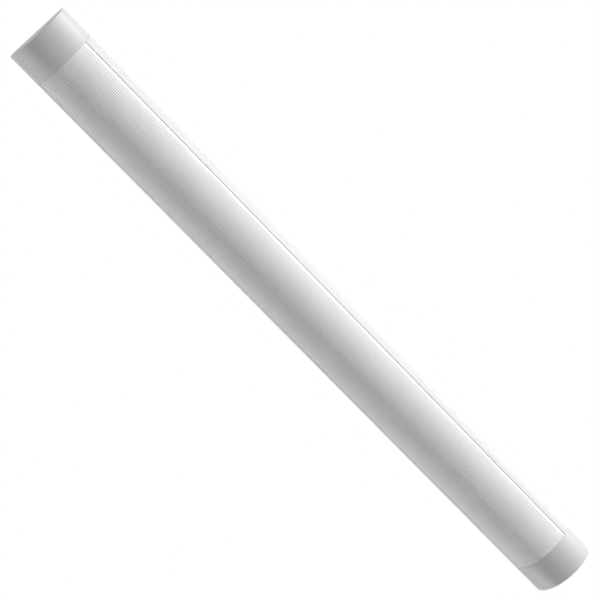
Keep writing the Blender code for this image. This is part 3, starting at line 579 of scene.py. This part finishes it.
def diffuser_outline():
    """The opal cover's section: ribs, smooth edge strips, and a tongue for each slot."""
    outer = CROWN_RADIUS - DIFFUSER_SINK
    inner = outer - DIFFUSER_WALL
    tongue_top = CROWN_RADIUS - LIP - FIT
    tongue_under = tongue_top - TONGUE_THICKNESS
    edge = GROOVE_ANGLE - GROOVE_WIDTH / 2 / CROWN_RADIUS
    tongue_end = GROOVE_ANGLE + TONGUE_DEPTH / CROWN_RADIUS
    strip_start = asin((RIBS_END + 0.1 * MM) / outer)
    ribs = rib_points(outer)
    strip = crown(outer, strip_start, edge, 5)
    tongue = crown(tongue_top, edge, tongue_end, 3)
    under = crown(tongue_under, tongue_end, edge - 1.4 * MM / CROWN_RADIUS, 4)
    inside = crown(inner, edge - 1.7 * MM / CROWN_RADIUS, radians(1), 40)
    half = ribs + strip + tongue + under + inside
    shoulder = len(ribs) + len(strip) - 1
    return both_sides(soften(half, {shoulder: 0.25 * MM, shoulder + 1: 0.12 * MM}))


def make_diffuser(finish):
    """The ribbed opal cover."""
    cover = outline_prism("diffuser_cover", diffuser_outline(), BODY_LOW, BODY_HIGH, finish, 30)
    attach(cover, "diffuser")
    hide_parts("diffuser")


def cap_ring(inset, floor):
    """The D-shaped section of an end cap, shrunk by an inset, above a floor."""
    half_width = HALF_WIDTH - inset
    radius = CROWN_RADIUS - inset
    corner = max(BACK_ROUNDING - inset, 0.1 * MM)
    half = arc((half_width - corner, floor + corner), corner, -pi / 2, 0, 8)
    shoulder = len(half)
    half += crown(radius, asin(half_width / radius), radians(0.5), 48)
    return both_sides(soften(half, {shoulder: SHOULDER_ROUNDING}))


def cap_tongue(side, hand, seam):
    """One tongue of an end cap, rooted in its side wall, that grips inside the housing."""
    outside = HALF_WIDTH - WALL - FIT
    inside = outside - 1.2 * MM
    rooted = HALF_WIDTH - CAP_WALL / 2
    tip = seam - 8 * MM
    mouth = seam + 0.6 * MM
    root = seam + 6 * MM
    outline = [(inside, tip), (outside, tip), (outside, mouth)]
    outline += [(rooted, mouth), (rooted, root), (inside, root)]
    outline = soften(outline, {0: 0.5 * MM, 1: 0.5 * MM})
    return flat_shape([(hand * x, side * y) for x, y in outline], 2.2 * MM, 4.6 * MM)


def cap_rings(side, mouth, end):
    """Rings of a cup from its inner end wall, over the rim, to its rounded outer end."""
    bottom = end - CAP_END_WALL
    rim = 0.15 * MM
    rings = [(side * bottom, cap_ring(CAP_WALL, WALL)), (side * mouth, cap_ring(CAP_WALL, WALL))]
    rings.append((side * mouth, cap_ring(rim, rim)))
    rings.append((side * (mouth + 0.3 * rim), cap_ring(0.3 * rim, 0.3 * rim)))
    rings.append((side * (mouth + rim), cap_ring(0, 0)))
    steps = 8
    for step in range(steps + 1):
        turn = pi / 2 * step / steps
        inset = CAP_ROUNDING * (1 - cos(turn))
        rings.append((side * (end - CAP_ROUNDING * (1 - sin(turn))), cap_ring(inset, inset)))
    return rings


def make_end_cap(node, side, body, finish):
    """A long end cap with its tongues, at either end of the lamp."""
    mouth = (BODY_HIGH if side > 0 else -BODY_LOW) + SEAM_GAP
    end = LENGTH_HIGH if side > 0 else -LENGTH_LOW
    seam = mouth - SEAM_GAP / 2
    cap = piece_from(loft(cap_rings(side, mouth, end)), f"{node}_shell", finish, 50)
    boolean(cap, [cap_tongue(side, hand, seam) for hand in (-1, 1)], "UNION", 50)
    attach(cap, body)
    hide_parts(node)
    return cap


def make_inlet(cap, finish):
    """The cable inlet through the right-hand cap, and the grommet in it."""
    low, high = node_box("cable_grommet")
    middle = node_middle("cable_grommet")
    face = LENGTH_HIGH
    web = face - 1.2 * MM
    hole = 4.6 * MM
    flange = (high.x - low.x) / 2
    outer = (middle.x, face + PAST, middle.z)
    cuts = []
    for start, radius in ((face - CAP_END_WALL - PAST, hole), (web, flange + FIT)):
        cuts.append(rod_shape((middle.x, start, middle.z), outer, radius, 64))
    boolean(cap, cuts, "DIFFERENCE", 50)
    bore = 3.5 * MM
    groove_front = face - web
    profile = [(bore + 0.6 * MM, -0.1 * MM), (flange - 0.6 * MM, -0.1 * MM), (flange - 0.15 * MM, -0.3 * MM)]
    profile += [(flange, -0.6 * MM), (flange, FIT - groove_front), (hole - FIT, FIT - groove_front)]
    profile += [(hole - FIT, -CAP_END_WALL - FIT), (flange - 0.6 * MM, -CAP_END_WALL - FIT)]
    profile += [(flange - 1.2 * MM, -CAP_END_WALL - 1.5 * MM), (bore + 0.3 * MM, -CAP_END_WALL - 1.5 * MM)]
    profile += [(bore, -CAP_END_WALL - 1.2 * MM), (bore, -0.7 * MM), (bore + 0.15 * MM, -0.35 * MM)]
    shape = turned_shape(profile, 64)
    shape.transform(Matrix.Translation((middle.x, face, middle.z)) @ Matrix.Rotation(-pi / 2, 4, "X"))
    grommet = piece_from(shape, "grommet_ring", finish)
    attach(grommet, "right_cap")
    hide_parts("cable_grommet")


# What is inside ------------------------------------------------------------------

SLOT_OF = {entry["node"]: entry["material_slot"] for entry in RECORD["subparts"]}
BODY_OF = {node: body for body, nodes in RECORD["behaviour"]["bodies"].items() for node in nodes}
COLOUR_OF = {entry["slot"]: entry["base_color"][:3] for entry in RECORD["materials"]}
made_finishes = {}


def finish_of(slot):
    """The finish of a slot, made once."""
    if slot not in made_finishes:
        made_finishes[slot] = slot_finish(slot, COLOUR_OF[slot])
    return made_finishes[slot]


def stand_in(shape, node, name, sharp=35):
    """Make a piece from a bmesh that stands for a CAD node, with its body, slot and finish."""
    piece = piece_from(shape, name, finish_of(SLOT_OF[node]), sharp)
    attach(piece, BODY_OF[node])
    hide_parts(node)
    return piece


def eased(shape, width, limit=30, segments=3):
    """Round the edges of a bmesh that are sharper than a limit in degrees."""
    bmesh.ops.recalc_face_normals(shape, faces=shape.faces)
    edges = [edge for edge in shape.edges if edge.calc_face_angle(0) > radians(limit)]
    bmesh.ops.bevel(shape, geom=edges, offset=width, segments=segments, profile=0.5, affect="EDGES")
    return shape


def rounded_rectangle(low, high, radius, steps=6):
    """The outline of a rectangle with round corners, in X and Y."""
    corners = ((high[0] - radius, low[1] + radius), (high[0] - radius, high[1] - radius))
    corners += ((low[0] + radius, high[1] - radius), (low[0] + radius, low[1] + radius))
    outline = []
    for index, corner in enumerate(corners):
        start = (index - 1) * pi / 2
        outline += arc(corner, radius, start, start + pi / 2, steps)
    return outline


def rounded_block(low, high, radius):
    """A box between two corners with all its edges rounded."""
    return eased(box_shape(low, high), radius)


def merged(shapes):
    """Several separate bmeshes as one."""
    whole = bmesh.new()
    for shape in shapes:
        mesh = bpy.data.meshes.new("part")
        shape.to_mesh(mesh)
        shape.free()
        whole.from_mesh(mesh)
        bpy.data.meshes.remove(mesh)
    return whole


def holes_for(nodes, low, high):
    """Cutters for the holes of some screws or rivets, running past two heights."""
    cuts = []
    for node in nodes:
        middle = node_middle(node)
        cuts.append(upright_hole(middle.x, middle.y, low - PAST, high + PAST))
    return cuts


def make_gear_tray():
    """The folded tray under the boards: round bends, fixing holes and the wires' slot."""
    low, high = node_box("gear_tray")
    sheet = 0.8 * MM
    side = 18.4 * MM
    foot_top = low.z + sheet
    half = [(side - sheet, low.z), (high.x, low.z), (high.x, foot_top), (side, foot_top), (side, high.z)]
    outline = both_sides(half) + [(sheet - side, high.z - sheet), (side - sheet, high.z - sheet)]
    inner_bend = 0.25 * MM
    outer_bend = inner_bend + sheet
    bends = {index: outer_bend for index in (0, 4, 5, 9)}
    bends.update({index: inner_bend for index in (3, 6, 10, 11)})
    section = soften(outline, bends)
    tray = stand_in(loft([(low.y, section), (high.y, section)]), "gear_tray", "folded_gear_tray")
    cuts = []
    for index in range(1, 5):
        cuts += holes_for([f"tray_rivet_{index}"], low.z, foot_top)
        cuts += holes_for([f"board_screw_{index}"], high.z - sheet, high.z)
    first, last = node_box("board_connector")
    margin = 0.8 * MM
    slot = rounded_rectangle((11.4 * MM, first.y - margin), (15.4 * MM, last.y + margin), 1.5 * MM)
    cuts.append(flat_shape(slot, high.z - 2 * sheet, high.z + sheet))
    boolean(tray, cuts, "DIFFERENCE")


def chip_package(y, face):
    """A chip's white frame."""
    low = (-CHIP_HALF_WIDE, y - CHIP_HALF_LONG, face)
    high = (CHIP_HALF_WIDE, y + CHIP_HALF_LONG, face + CHIP_HEIGHT - 0.02 * MM)
    return rounded_block(low, high, 0.15 * MM)


def chip_phosphor(y, face):
    """The yellow window on a chip."""
    wide, long = CHIP_HALF_WIDE - 0.5 * MM, CHIP_HALF_LONG - 0.6 * MM
    top = face + CHIP_HEIGHT
    outline = rounded_rectangle((-wide, y - long), (wide, y + long), 0.4 * MM, 4)
    return flat_shape(outline, top - 0.1 * MM, top)


def chip_pads(y, face):
    """Two tinned pads, one at each end of a chip."""
    shapes = []
    for side in (-1, 1):
        under, beyond = CHIP_HALF_LONG - 0.5 * MM, CHIP_HALF_LONG + 0.7 * MM
        near, far = sorted((y + side * under, y + side * beyond))
        shapes.append(box_shape((-1.1 * MM, near, face), (1.1 * MM, far, face + 0.05 * MM)))
    return merged(shapes)


def chip_tracks(y, face):
    """The two raised copper tracks, under the mask, from one chip to the next."""
    near = y + CHIP_HALF_LONG + 0.8 * MM
    far = y + CHIP_PITCH - CHIP_HALF_LONG - 0.8 * MM
    shapes = []
    for side in (-1, 1):
        first, last = sorted((side * 2.1 * MM, side * 5.2 * MM))
        shapes.append(box_shape((first, near, face), (last, far, face + 0.04 * MM)))
    return merged(shapes)


def chip_rows(start, face, shape_at):
    """One shape for each chip place along a board, on its face."""
    places = [start + CHIP_FIRST + index * CHIP_PITCH for index in range(CHIP_COUNT)]
    return merged([shape_at(y, face) for y in places])


def make_led_board(node):
    """A white board with copper tracks under its mask, solder pads, and a row of LED chips."""
    low, high = node_box(node)
    face = high.z - CHIP_HEIGHT
    plate = eased(flat_shape(rounded_rectangle(low, high, 0.6 * MM), low.z, face), 0.12 * MM, 60, 2)
    board = stand_in(plate, node, f"{node}_plate")
    screws = [name for name in SLOT_OF if name.startswith("board_screw")]
    through = [name for name in screws if low.y < node_middle(name).y < high.y]
    boolean(board, holes_for(through, low.z, face), "DIFFERENCE")
    pieces = ((chip_package, "led_packages", "white_plastic"), (chip_pads, "solder_pads", "bare_aluminium"),
              (chip_tracks, "masked_tracks", "white_board"))
    for shape_at, name, slot in pieces:
        piece = piece_from(chip_rows(low.y, face, shape_at), f"{node}_{name}", finish_of(slot))
        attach(piece, "housing")
        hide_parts(node)
    piece = piece_from(chip_rows(low.y, face, chip_phosphor), f"{node}_phosphor", PHOSPHOR)
    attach(piece, "housing")
    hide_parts(node)


def make_board_fittings():
    """The link between the boards, and the wires' connector with its entries and release slots."""
    low, high = node_box("board_link")
    link = stand_in(rounded_block(low, high, 0.4 * MM), "board_link", "board_link_body")
    groove = 0.35 * MM
    middle = node_middle("board_link")
    cuts = [box_shape((low.x - PAST, middle.y - groove, high.z - groove),
                      (high.x + PAST, middle.y + groove, high.z + PAST))]
    boolean(link, cuts, "DIFFERENCE")
    low, high = node_box("board_connector")
    connector = stand_in(rounded_block(low, high, 0.3 * MM), "board_connector", "connector_body")
    middle = node_middle("board_connector")
    entry = 1 * MM
    cuts = []
    for side in (-1, 1):
        y = middle.y + side * 1.6 * MM
        cuts.append(rod_shape((middle.x - 0.5 * MM, y, middle.z), (high.x + PAST, y, middle.z), entry, 32))
        cuts.append(rounded_block((low.x + 1 * MM, y - 0.6 * MM, high.z - 0.5 * MM),
                                  (low.x + 2.6 * MM, y + 0.6 * MM, high.z + PAST), 0.15 * MM))
    boolean(connector, cuts, "DIFFERENCE")


def make_screw(node):
    """A pan-head screw with a domed head and a cross recess."""
    low, high = node_box(node)
    middle = node_middle(node)
    head = (high.x - low.x) / 2
    height = 0.62 * head
    under = high.z - height
    shank = 0.46 * head
    profile = [(0, high.z)]
    for step in range(1, 8):
        turn = pi / 2 * step / 7
        profile.append((head * sin(turn), under + 0.35 * height + 0.65 * height * cos(turn)))
    profile += [(head, under + 0.08 * MM), (head - 0.08 * MM, under), (shank, under)]
    profile += [(shank, low.z + shank / 2), (shank / 2, low.z), (0, low.z)]
    shape = turned_shape(profile, 40)
    shape.transform(Matrix.Translation((middle.x, middle.y, 0)))
    screw = stand_in(shape, node, f"{node}_turned")
    reach, slot = 0.5 * head, 0.12 * head
    floor = high.z - 0.5 * height
    cross = []
    for across, along in ((reach, slot), (slot, reach)):
        cross.append(box_shape((middle.x - across, middle.y - along, floor),
                               (middle.x + across, middle.y + along, high.z + PAST)))
    boolean(screw, cross, "DIFFERENCE")


def make_rivet(node):
    """A blind rivet: a low dome with the hollow of its broken mandrel."""
    low, high = node_box(node)
    middle = node_middle(node)
    head = (high.x - low.x) / 2
    height = 0.42 * head
    under = high.z - height
    shank = 0.63 * head
    hollow = 0.3 * head
    profile = [(0, high.z - 0.7 * height), (hollow, high.z - 0.7 * height), (hollow, high.z - 0.05 * MM)]
    rim = radians(25)
    for step in range(7):
        turn = rim + (pi / 2 - rim) * step / 6
        profile.append((head * sin(turn), under + height * cos(turn) / cos(rim)))
    profile += [(head - 0.05 * MM, under), (shank, under), (shank, low.z), (0, low.z)]
    shape = turned_shape(profile, 40)
    shape.transform(Matrix.Translation((middle.x, middle.y, 0)))
    stand_in(shape, node, f"{node}_turned")


def make_fasteners():
    """Every screw and rivet."""
    for node in SLOT_OF:
        if "rivet" in node:
            make_rivet(node)
        elif "screw" in node:
            make_screw(node)


def side_shape(outline, low, high):
    """A plate of the given YZ outline between two places along X, as a bmesh."""
    shape = flat_shape(outline, low, high)
    shape.transform(Matrix(((0, 0, 1, 0), (1, 0, 0, 0), (0, 1, 0, 0), (0, 0, 0, 1))))
    return shape


def make_lever(node, pivot):
    """An orange lever: a round hub on the pivot and an arm with a lifted tip."""
    low, high = node_box(node)
    y, z = pivot
    hub = 1.6 * MM
    arm_top, arm_under = radians(32), radians(-19)
    outline = arc((y, z), hub, arm_top, arm_under + 2 * pi, 28)
    outline += [(high.y - 0.3 * MM, z - 0.5 * MM), (high.y, z - 0.2 * MM), (high.y, high.z - 0.3 * MM)]
    outline += [(high.y - 0.3 * MM, high.z), (high.y - 0.9 * MM, high.z), (high.y - 1.8 * MM, z + 0.8 * MM)]
    lever = stand_in(eased(side_shape(outline, low.x, high.x), 0.18 * MM, 40), node, f"{node}_moulded")
    bore = rod_shape((low.x - PAST, y, z), (high.x + PAST, y, z), PIN_BORE, 32)
    boolean(lever, [bore], "DIFFERENCE")


def make_wiring_plate():
    """The plate that carries the terminal, with its screw holes."""
    low, high = node_box("terminal_plate")
    blank = flat_shape(rounded_rectangle(low, high, 2 * MM), low.z, high.z)
    plate = stand_in(eased(blank, 0.12 * MM, 60, 2), "terminal_plate", "wiring_plate")
    screws = ("plate_screw", "earth_screw", "terminal_screw_1", "terminal_screw_2")
    boolean(plate, holes_for(screws, low.z, high.z), "DIFFERENCE")


def make_lever_pin():
    """The pin that the levers turn on. Returns where it lies, in Y and Z."""
    low, high = node_box("terminal_pivot")
    pivot = ((low.y + high.y) / 2, (low.z + high.z) / 2)
    pin = rod_shape((low.x, *pivot), (high.x, *pivot), (high.z - low.z) / 2, 32)
    stand_in(eased(pin, 0.1 * MM, 60, 2), "terminal_pivot", "lever_pin")
    return pivot


def lever_cuts(node, pivot, low, high):
    """Cutters through the block for one lever: its wire's tunnel, its pocket, and a test slot."""
    first, last = node_box(node)
    x = (first.x + last.x) / 2
    tunnel, slot = 1.8 * MM, 0.5 * MM
    clear = 1.9 * MM
    return [
        box_shape((x - tunnel, low.y - PAST, 4 * MM), (x + tunnel, high.y + PAST, 6.8 * MM)),
        box_shape((first.x - FIT, pivot[0] - clear, pivot[1] - clear),
                  (last.x + FIT, high.y + PAST, high.z + PAST)),
        box_shape((x - slot, low.y + 1.4 * MM, high.z - 1.2 * MM),
                  (x + slot, low.y + 3.4 * MM, high.z + PAST)),
    ]


def make_terminal_block(pivot):
    """The terminal's body between its two ears, opened for the levers, wires and screws."""
    low, high = node_box("terminal_block")
    middle = node_middle("terminal_block")
    body = rounded_block((-BLOCK_HALF, low.y, low.z), (BLOCK_HALF, high.y, high.z), 0.4 * MM)
    block = stand_in(body, "terminal_block", "terminal_body")
    ears = rounded_block((low.x, middle.y - EAR_HALF_LONG, low.z),
                         (high.x, middle.y + EAR_HALF_LONG, low.z + EAR_HEIGHT), 0.3 * MM)
    boolean(block, [ears], "UNION")
    cuts = []
    for side in (-1, 1):
        cuts.append(upright_hole(side * EAR_HOLE, middle.y, low.z - PAST, low.z + 3 * MM))
    for index in (1, 2, 3):
        cuts += lever_cuts(f"terminal_lever_{index}", pivot, low, high)
    for side in (-1, 1):
        x = side * BLOCK_GROOVE
        cuts.append(box_shape((x - 0.15 * MM, low.y - PAST, high.z - 0.3 * MM),
                              (x + 0.15 * MM, pivot[0] - 2.2 * MM, high.z + PAST)))
    boolean(block, cuts, "DIFFERENCE")
    # The bore is cut after the pockets, and apart from them, so that the mesh closes
    bore = rod_shape((low.x, *pivot), (high.x, *pivot), PIN_BORE, 40)
    boolean(block, [bore], "DIFFERENCE")


def make_earth_lug():
    """The earth wire's lug: a ring under its screw, a neck, and a barrel crimped on the wire."""
    low, high = node_box("earth_lug")
    x = (low.x + high.x) / 2
    ring = 3 * MM
    y = high.y - ring
    sheet = 0.6 * MM
    eye = rod_shape((x, y, low.z), (x, y, low.z + sheet), ring, 48)
    lug = stand_in(eased(eye, 0.1 * MM, 60, 2), "earth_lug", "crimped_lug")
    neck = box_shape((x - 1 * MM, y - 4 * MM, low.z), (x + 1 * MM, y - 2 * MM, low.z + sheet))
    barrel_z = low.z + 1.2 * MM
    barrel = rod_shape((x, low.y, barrel_z), (x, low.y + 2.9 * MM, barrel_z), 1.15 * MM, 32)
    boolean(lug, [neck, barrel], "UNION")
    dent_y, dent_z = low.y + 1.5 * MM, high.z + 0.35 * MM
    dent = rod_shape((x - 2 * MM, dent_y, dent_z), (x + 2 * MM, dent_y, dent_z), 0.7 * MM, 24)
    boolean(lug, [upright_hole(x, y, low.z - PAST, low.z + 2 * MM), dent], "DIFFERENCE")


def make_terminal():
    """The lever terminal: plate, pin, block, levers, and the earth wire's lug."""
    make_wiring_plate()
    pivot = make_lever_pin()
    make_terminal_block(pivot)
    for index in (1, 2, 3):
        make_lever(f"terminal_lever_{index}", pivot)
    make_earth_lug()


def make_driver():
    """The driver's lid and its square components with eased edges, and its fuse."""
    low, high = node_box("driver_cover")
    lid = eased(flat_shape(rounded_rectangle(low, high, 0.8 * MM), low.z, high.z), 0.15 * MM, 60, 2)
    stand_in(lid, "driver_cover", "driver_lid")
    for node in ("driver_rectifier", "driver_switch", "driver_controller"):
        low, high = node_box(node)
        stand_in(rounded_block(low, high, 0.2 * MM), node, f"{node}_body")
    make_fuse()


def make_fuse():
    """A tube fuse lying along Y: two end ferrules, and a thinner tube between them."""
    low, high = node_box("driver_fuse")
    middle = node_middle("driver_fuse")
    half = (high.y - low.y) / 2
    radius = (high.z - low.z) / 2
    shoulder = half - 2.6 * MM
    tube = radius - 0.25 * MM
    ease = 0.15 * MM
    upper = [(0, half), (radius - ease, half), (radius, half - ease), (radius, shoulder), (tube, shoulder)]
    lower = [(r, -y) for r, y in reversed(upper)]
    shape = turned_shape(upper + lower, 32)
    shape.transform(Matrix.Translation(middle) @ Matrix.Rotation(-pi / 2, 4, "X"))
    stand_in(shape, "driver_fuse", "fuse_tube")


def smooth_route(points, spans=8):
    """A Catmull-Rom curve through given points, with a few points on each span."""
    points = [Vector(point) * MM for point in points]
    ends = [points[0] * 2 - points[1]] + points + [points[-1] * 2 - points[-2]]
    route = []
    for index in range(1, len(ends) - 2):
        before, start, end, after = ends[index - 1:index + 3]
        for step in range(spans):
            t = step / spans
            blend = 2 * start + (end - before) * t
            blend += (2 * before - 5 * start + 4 * end - after) * t**2
            blend += (3 * start - before - 3 * end + after) * t**3
            route.append(blend / 2)
    route.append(points[-1])
    return route


def make_wire(node, points, diameter):
    """An insulated wire: a round tube along its route."""
    curve = bpy.data.curves.new(node, "CURVE")
    curve.dimensions = "3D"
    curve.bevel_depth = diameter / 2
    curve.bevel_resolution = 6
    curve.use_fill_caps = True
    route = smooth_route(points)
    spline = curve.splines.new("POLY")
    spline.points.add(len(route) - 1)
    for point, where in zip(spline.points, route):
        point.co = (*where, 1)
    helper = bpy.data.objects.new("helper", curve)
    bpy.context.scene.collection.objects.link(helper)
    bpy.context.view_layer.update()
    mesh = bpy.data.meshes.new_from_object(helper.evaluated_get(bpy.context.evaluated_depsgraph_get()))
    shape = bmesh.new()
    shape.from_mesh(mesh)
    bmesh.ops.remove_doubles(shape, verts=shape.verts, dist=1e-6)
    bpy.data.objects.remove(helper, do_unlink=True)
    stand_in(shape, node, f"{node}_insulation", 50)


def make_wiring():
    """The wires inside the lamp, each along the route it has in the frame, in millimetres."""
    make_wire("live_wire", [
        (-6.5, 45, 5.2), (-6.5, 53, 5.2), (-7, 66, 2.8), (-8, 80, 2.4), (-8, 222, 2.4),
        (-3, 234, 2.4), (4, 244, 3), (6.2, 256, 4.9), (6.2, 266, 5.4), (6.2, 281, 5.4),
    ], WIRE_MAINS)
    make_wire("neutral_wire", [
        (-9.5, 45, 5.2), (-9.5, 53, 5.2), (-10.4, 66, 2.8), (-11, 80, 2.4), (-11, 226, 2.4),
        (-7, 238, 2.4), (-1.6, 248, 3.2), (0, 257, 5), (0, 266, 5.4), (0, 281, 5.4),
    ], WIRE_MAINS)
    make_wire("earth_wire", [
        (-12.5, 262.6, 4.1), (-12.5, 258, 4.1), (-11.4, 254, 4), (-9.3, 252.6, 4),
        (-7.3, 254.4, 4.3), (-6.3, 260, 5.2), (-6.2, 268, 5.4), (-6.2, 281, 5.4),
    ], WIRE_MAINS)
    make_wire("led_positive_wire", [
        (9.5, 45, 5.2), (9.5, 53, 5.2), (12.4, 66, 2.8), (14.5, 80, 2.4), (14.5, 232, 2.4),
        (14.3, 243, 3), (13.7, 251, 5.4), (13.4, 253.2, 9), (13.2, 253.3, 12), (11.6, 253.3, 14),
        (8.2, 253.3, 14.2), (6, 253.3, 14.2),
    ], WIRE_LED)
    make_wire("led_negative_wire", [
        (6.5, 45, 5.2), (6.5, 53, 5.2), (9, 66, 2.8), (11, 80, 2.4), (11, 236, 2.4),
        (11.4, 247, 3), (12.8, 254.6, 5.4), (13.4, 256.3, 9), (13.2, 256.5, 12), (11.6, 256.5, 14),
        (8.2, 256.5, 14.2), (6, 256.5, 14.2),
    ], WIRE_LED)


# Light, floor and camera -------------------------------------------------------

def make_sky():
    """A plain white studio around the lamp: seen and mirrored white, with a fainter light of its own."""
    world = bpy.data.worlds.new("studio")
    bpy.context.scene.world = world
    world.use_nodes = True
    nodes = world.node_tree.nodes
    links = world.node_tree.links
    path = nodes.new("ShaderNodeLightPath")
    strength = nodes.new("ShaderNodeMapRange")
    strength.inputs["To Min"].default_value = 1.0
    strength.inputs["To Max"].default_value = SKY
    links.new(path.outputs["Is Diffuse Ray"], strength.inputs["Value"])
    nodes["Background"].inputs["Color"].default_value = (1, 1, 1, 1)
    links.new(strength.outputs["Result"], nodes["Background"].inputs["Strength"])


def make_strips():
    """A ring of long soft strip lights, low around the lamp."""
    for azimuth, elevation, power in STRIPS:
        name = f"strip_{azimuth}_{elevation}"
        light = bpy.data.lights.new(name, "AREA")
        light.shape = "RECTANGLE"
        light.size, light.size_y = STRIP_SIZE
        light.energy = power
        around, up = radians(azimuth), radians(elevation)
        direction = Vector((cos(around) * cos(up), sin(around) * cos(up), sin(up)))
        item = bpy.data.objects.new(name, light)
        item.location = direction * STRIP_DISTANCE
        item.rotation_mode = "QUATERNION"
        item.rotation_quaternion = (-direction).to_track_quat("-Z", "Y")
        bpy.context.scene.collection.objects.link(item)


def make_camera():
    """The camera at the photograph's viewing angle."""
    camera = bpy.data.cameras.new("camera")
    camera.lens = LENS
    camera.sensor_width = SENSOR
    item = bpy.data.objects.new("camera", camera)
    item.location = EYE
    item.rotation_mode = "QUATERNION"
    aim = (Vector(TARGET) - Vector(EYE)).to_track_quat("-Z", "Y")
    item.rotation_quaternion = aim @ Quaternion((0, 0, 1), radians(ROLL))
    bpy.context.scene.collection.objects.link(item)
    bpy.context.scene.camera = item


def finish_cad_nodes():
    """Give every CAD node that still shows the finish of its slot."""
    for entry in RECORD["subparts"]:
        node = frame["nodes"][entry["node"]]
        if not node.hide_render:
            node.material_slots[0].material = finish_of(entry["material_slot"])


make_camera()
make_sky()
stage_floor()
make_strips()
bpy.context.scene.view_settings.view_transform = "Standard"

PAINT = moulded("white_powder_coat", (0.694, 0.694, 0.694), 0.45, 1500.0, 0.00001)
PLASTIC = moulded("white_cap_plastic", (0.63, 0.63, 0.63), 0.4)
# The diffuser's opal, with its smooth edge strips painted whiter as a highlight where they catch the light
OPAL = opal_with_painted_highlight("opal_diffuser_painted_highlight", (0.837, 0.837, 0.837), (0.97, 0.97, 0.97), RIBS_END)
PHOSPHOR = moulded("chip_phosphor", (0.85, 0.62, 0.12), 0.35, 2500.0, 0.00001, 0.1)
RUBBER = moulded("grommet_rubber", (0.03, 0.03, 0.03), 0.75, 2500.0, 0.00004, 0.2)

make_housing(PAINT)
make_diffuser(OPAL)
make_end_cap("end_cap_left", -1, "left_cap", PLASTIC)
make_inlet(make_end_cap("end_cap_right", 1, "right_cap", PLASTIC), RUBBER)
make_gear_tray()
for board in ("led_board_1", "led_board_2"):
    make_led_board(board)
make_board_fittings()
make_fasteners()
make_terminal()
make_driver()
make_wiring()
finish_cad_nodes()
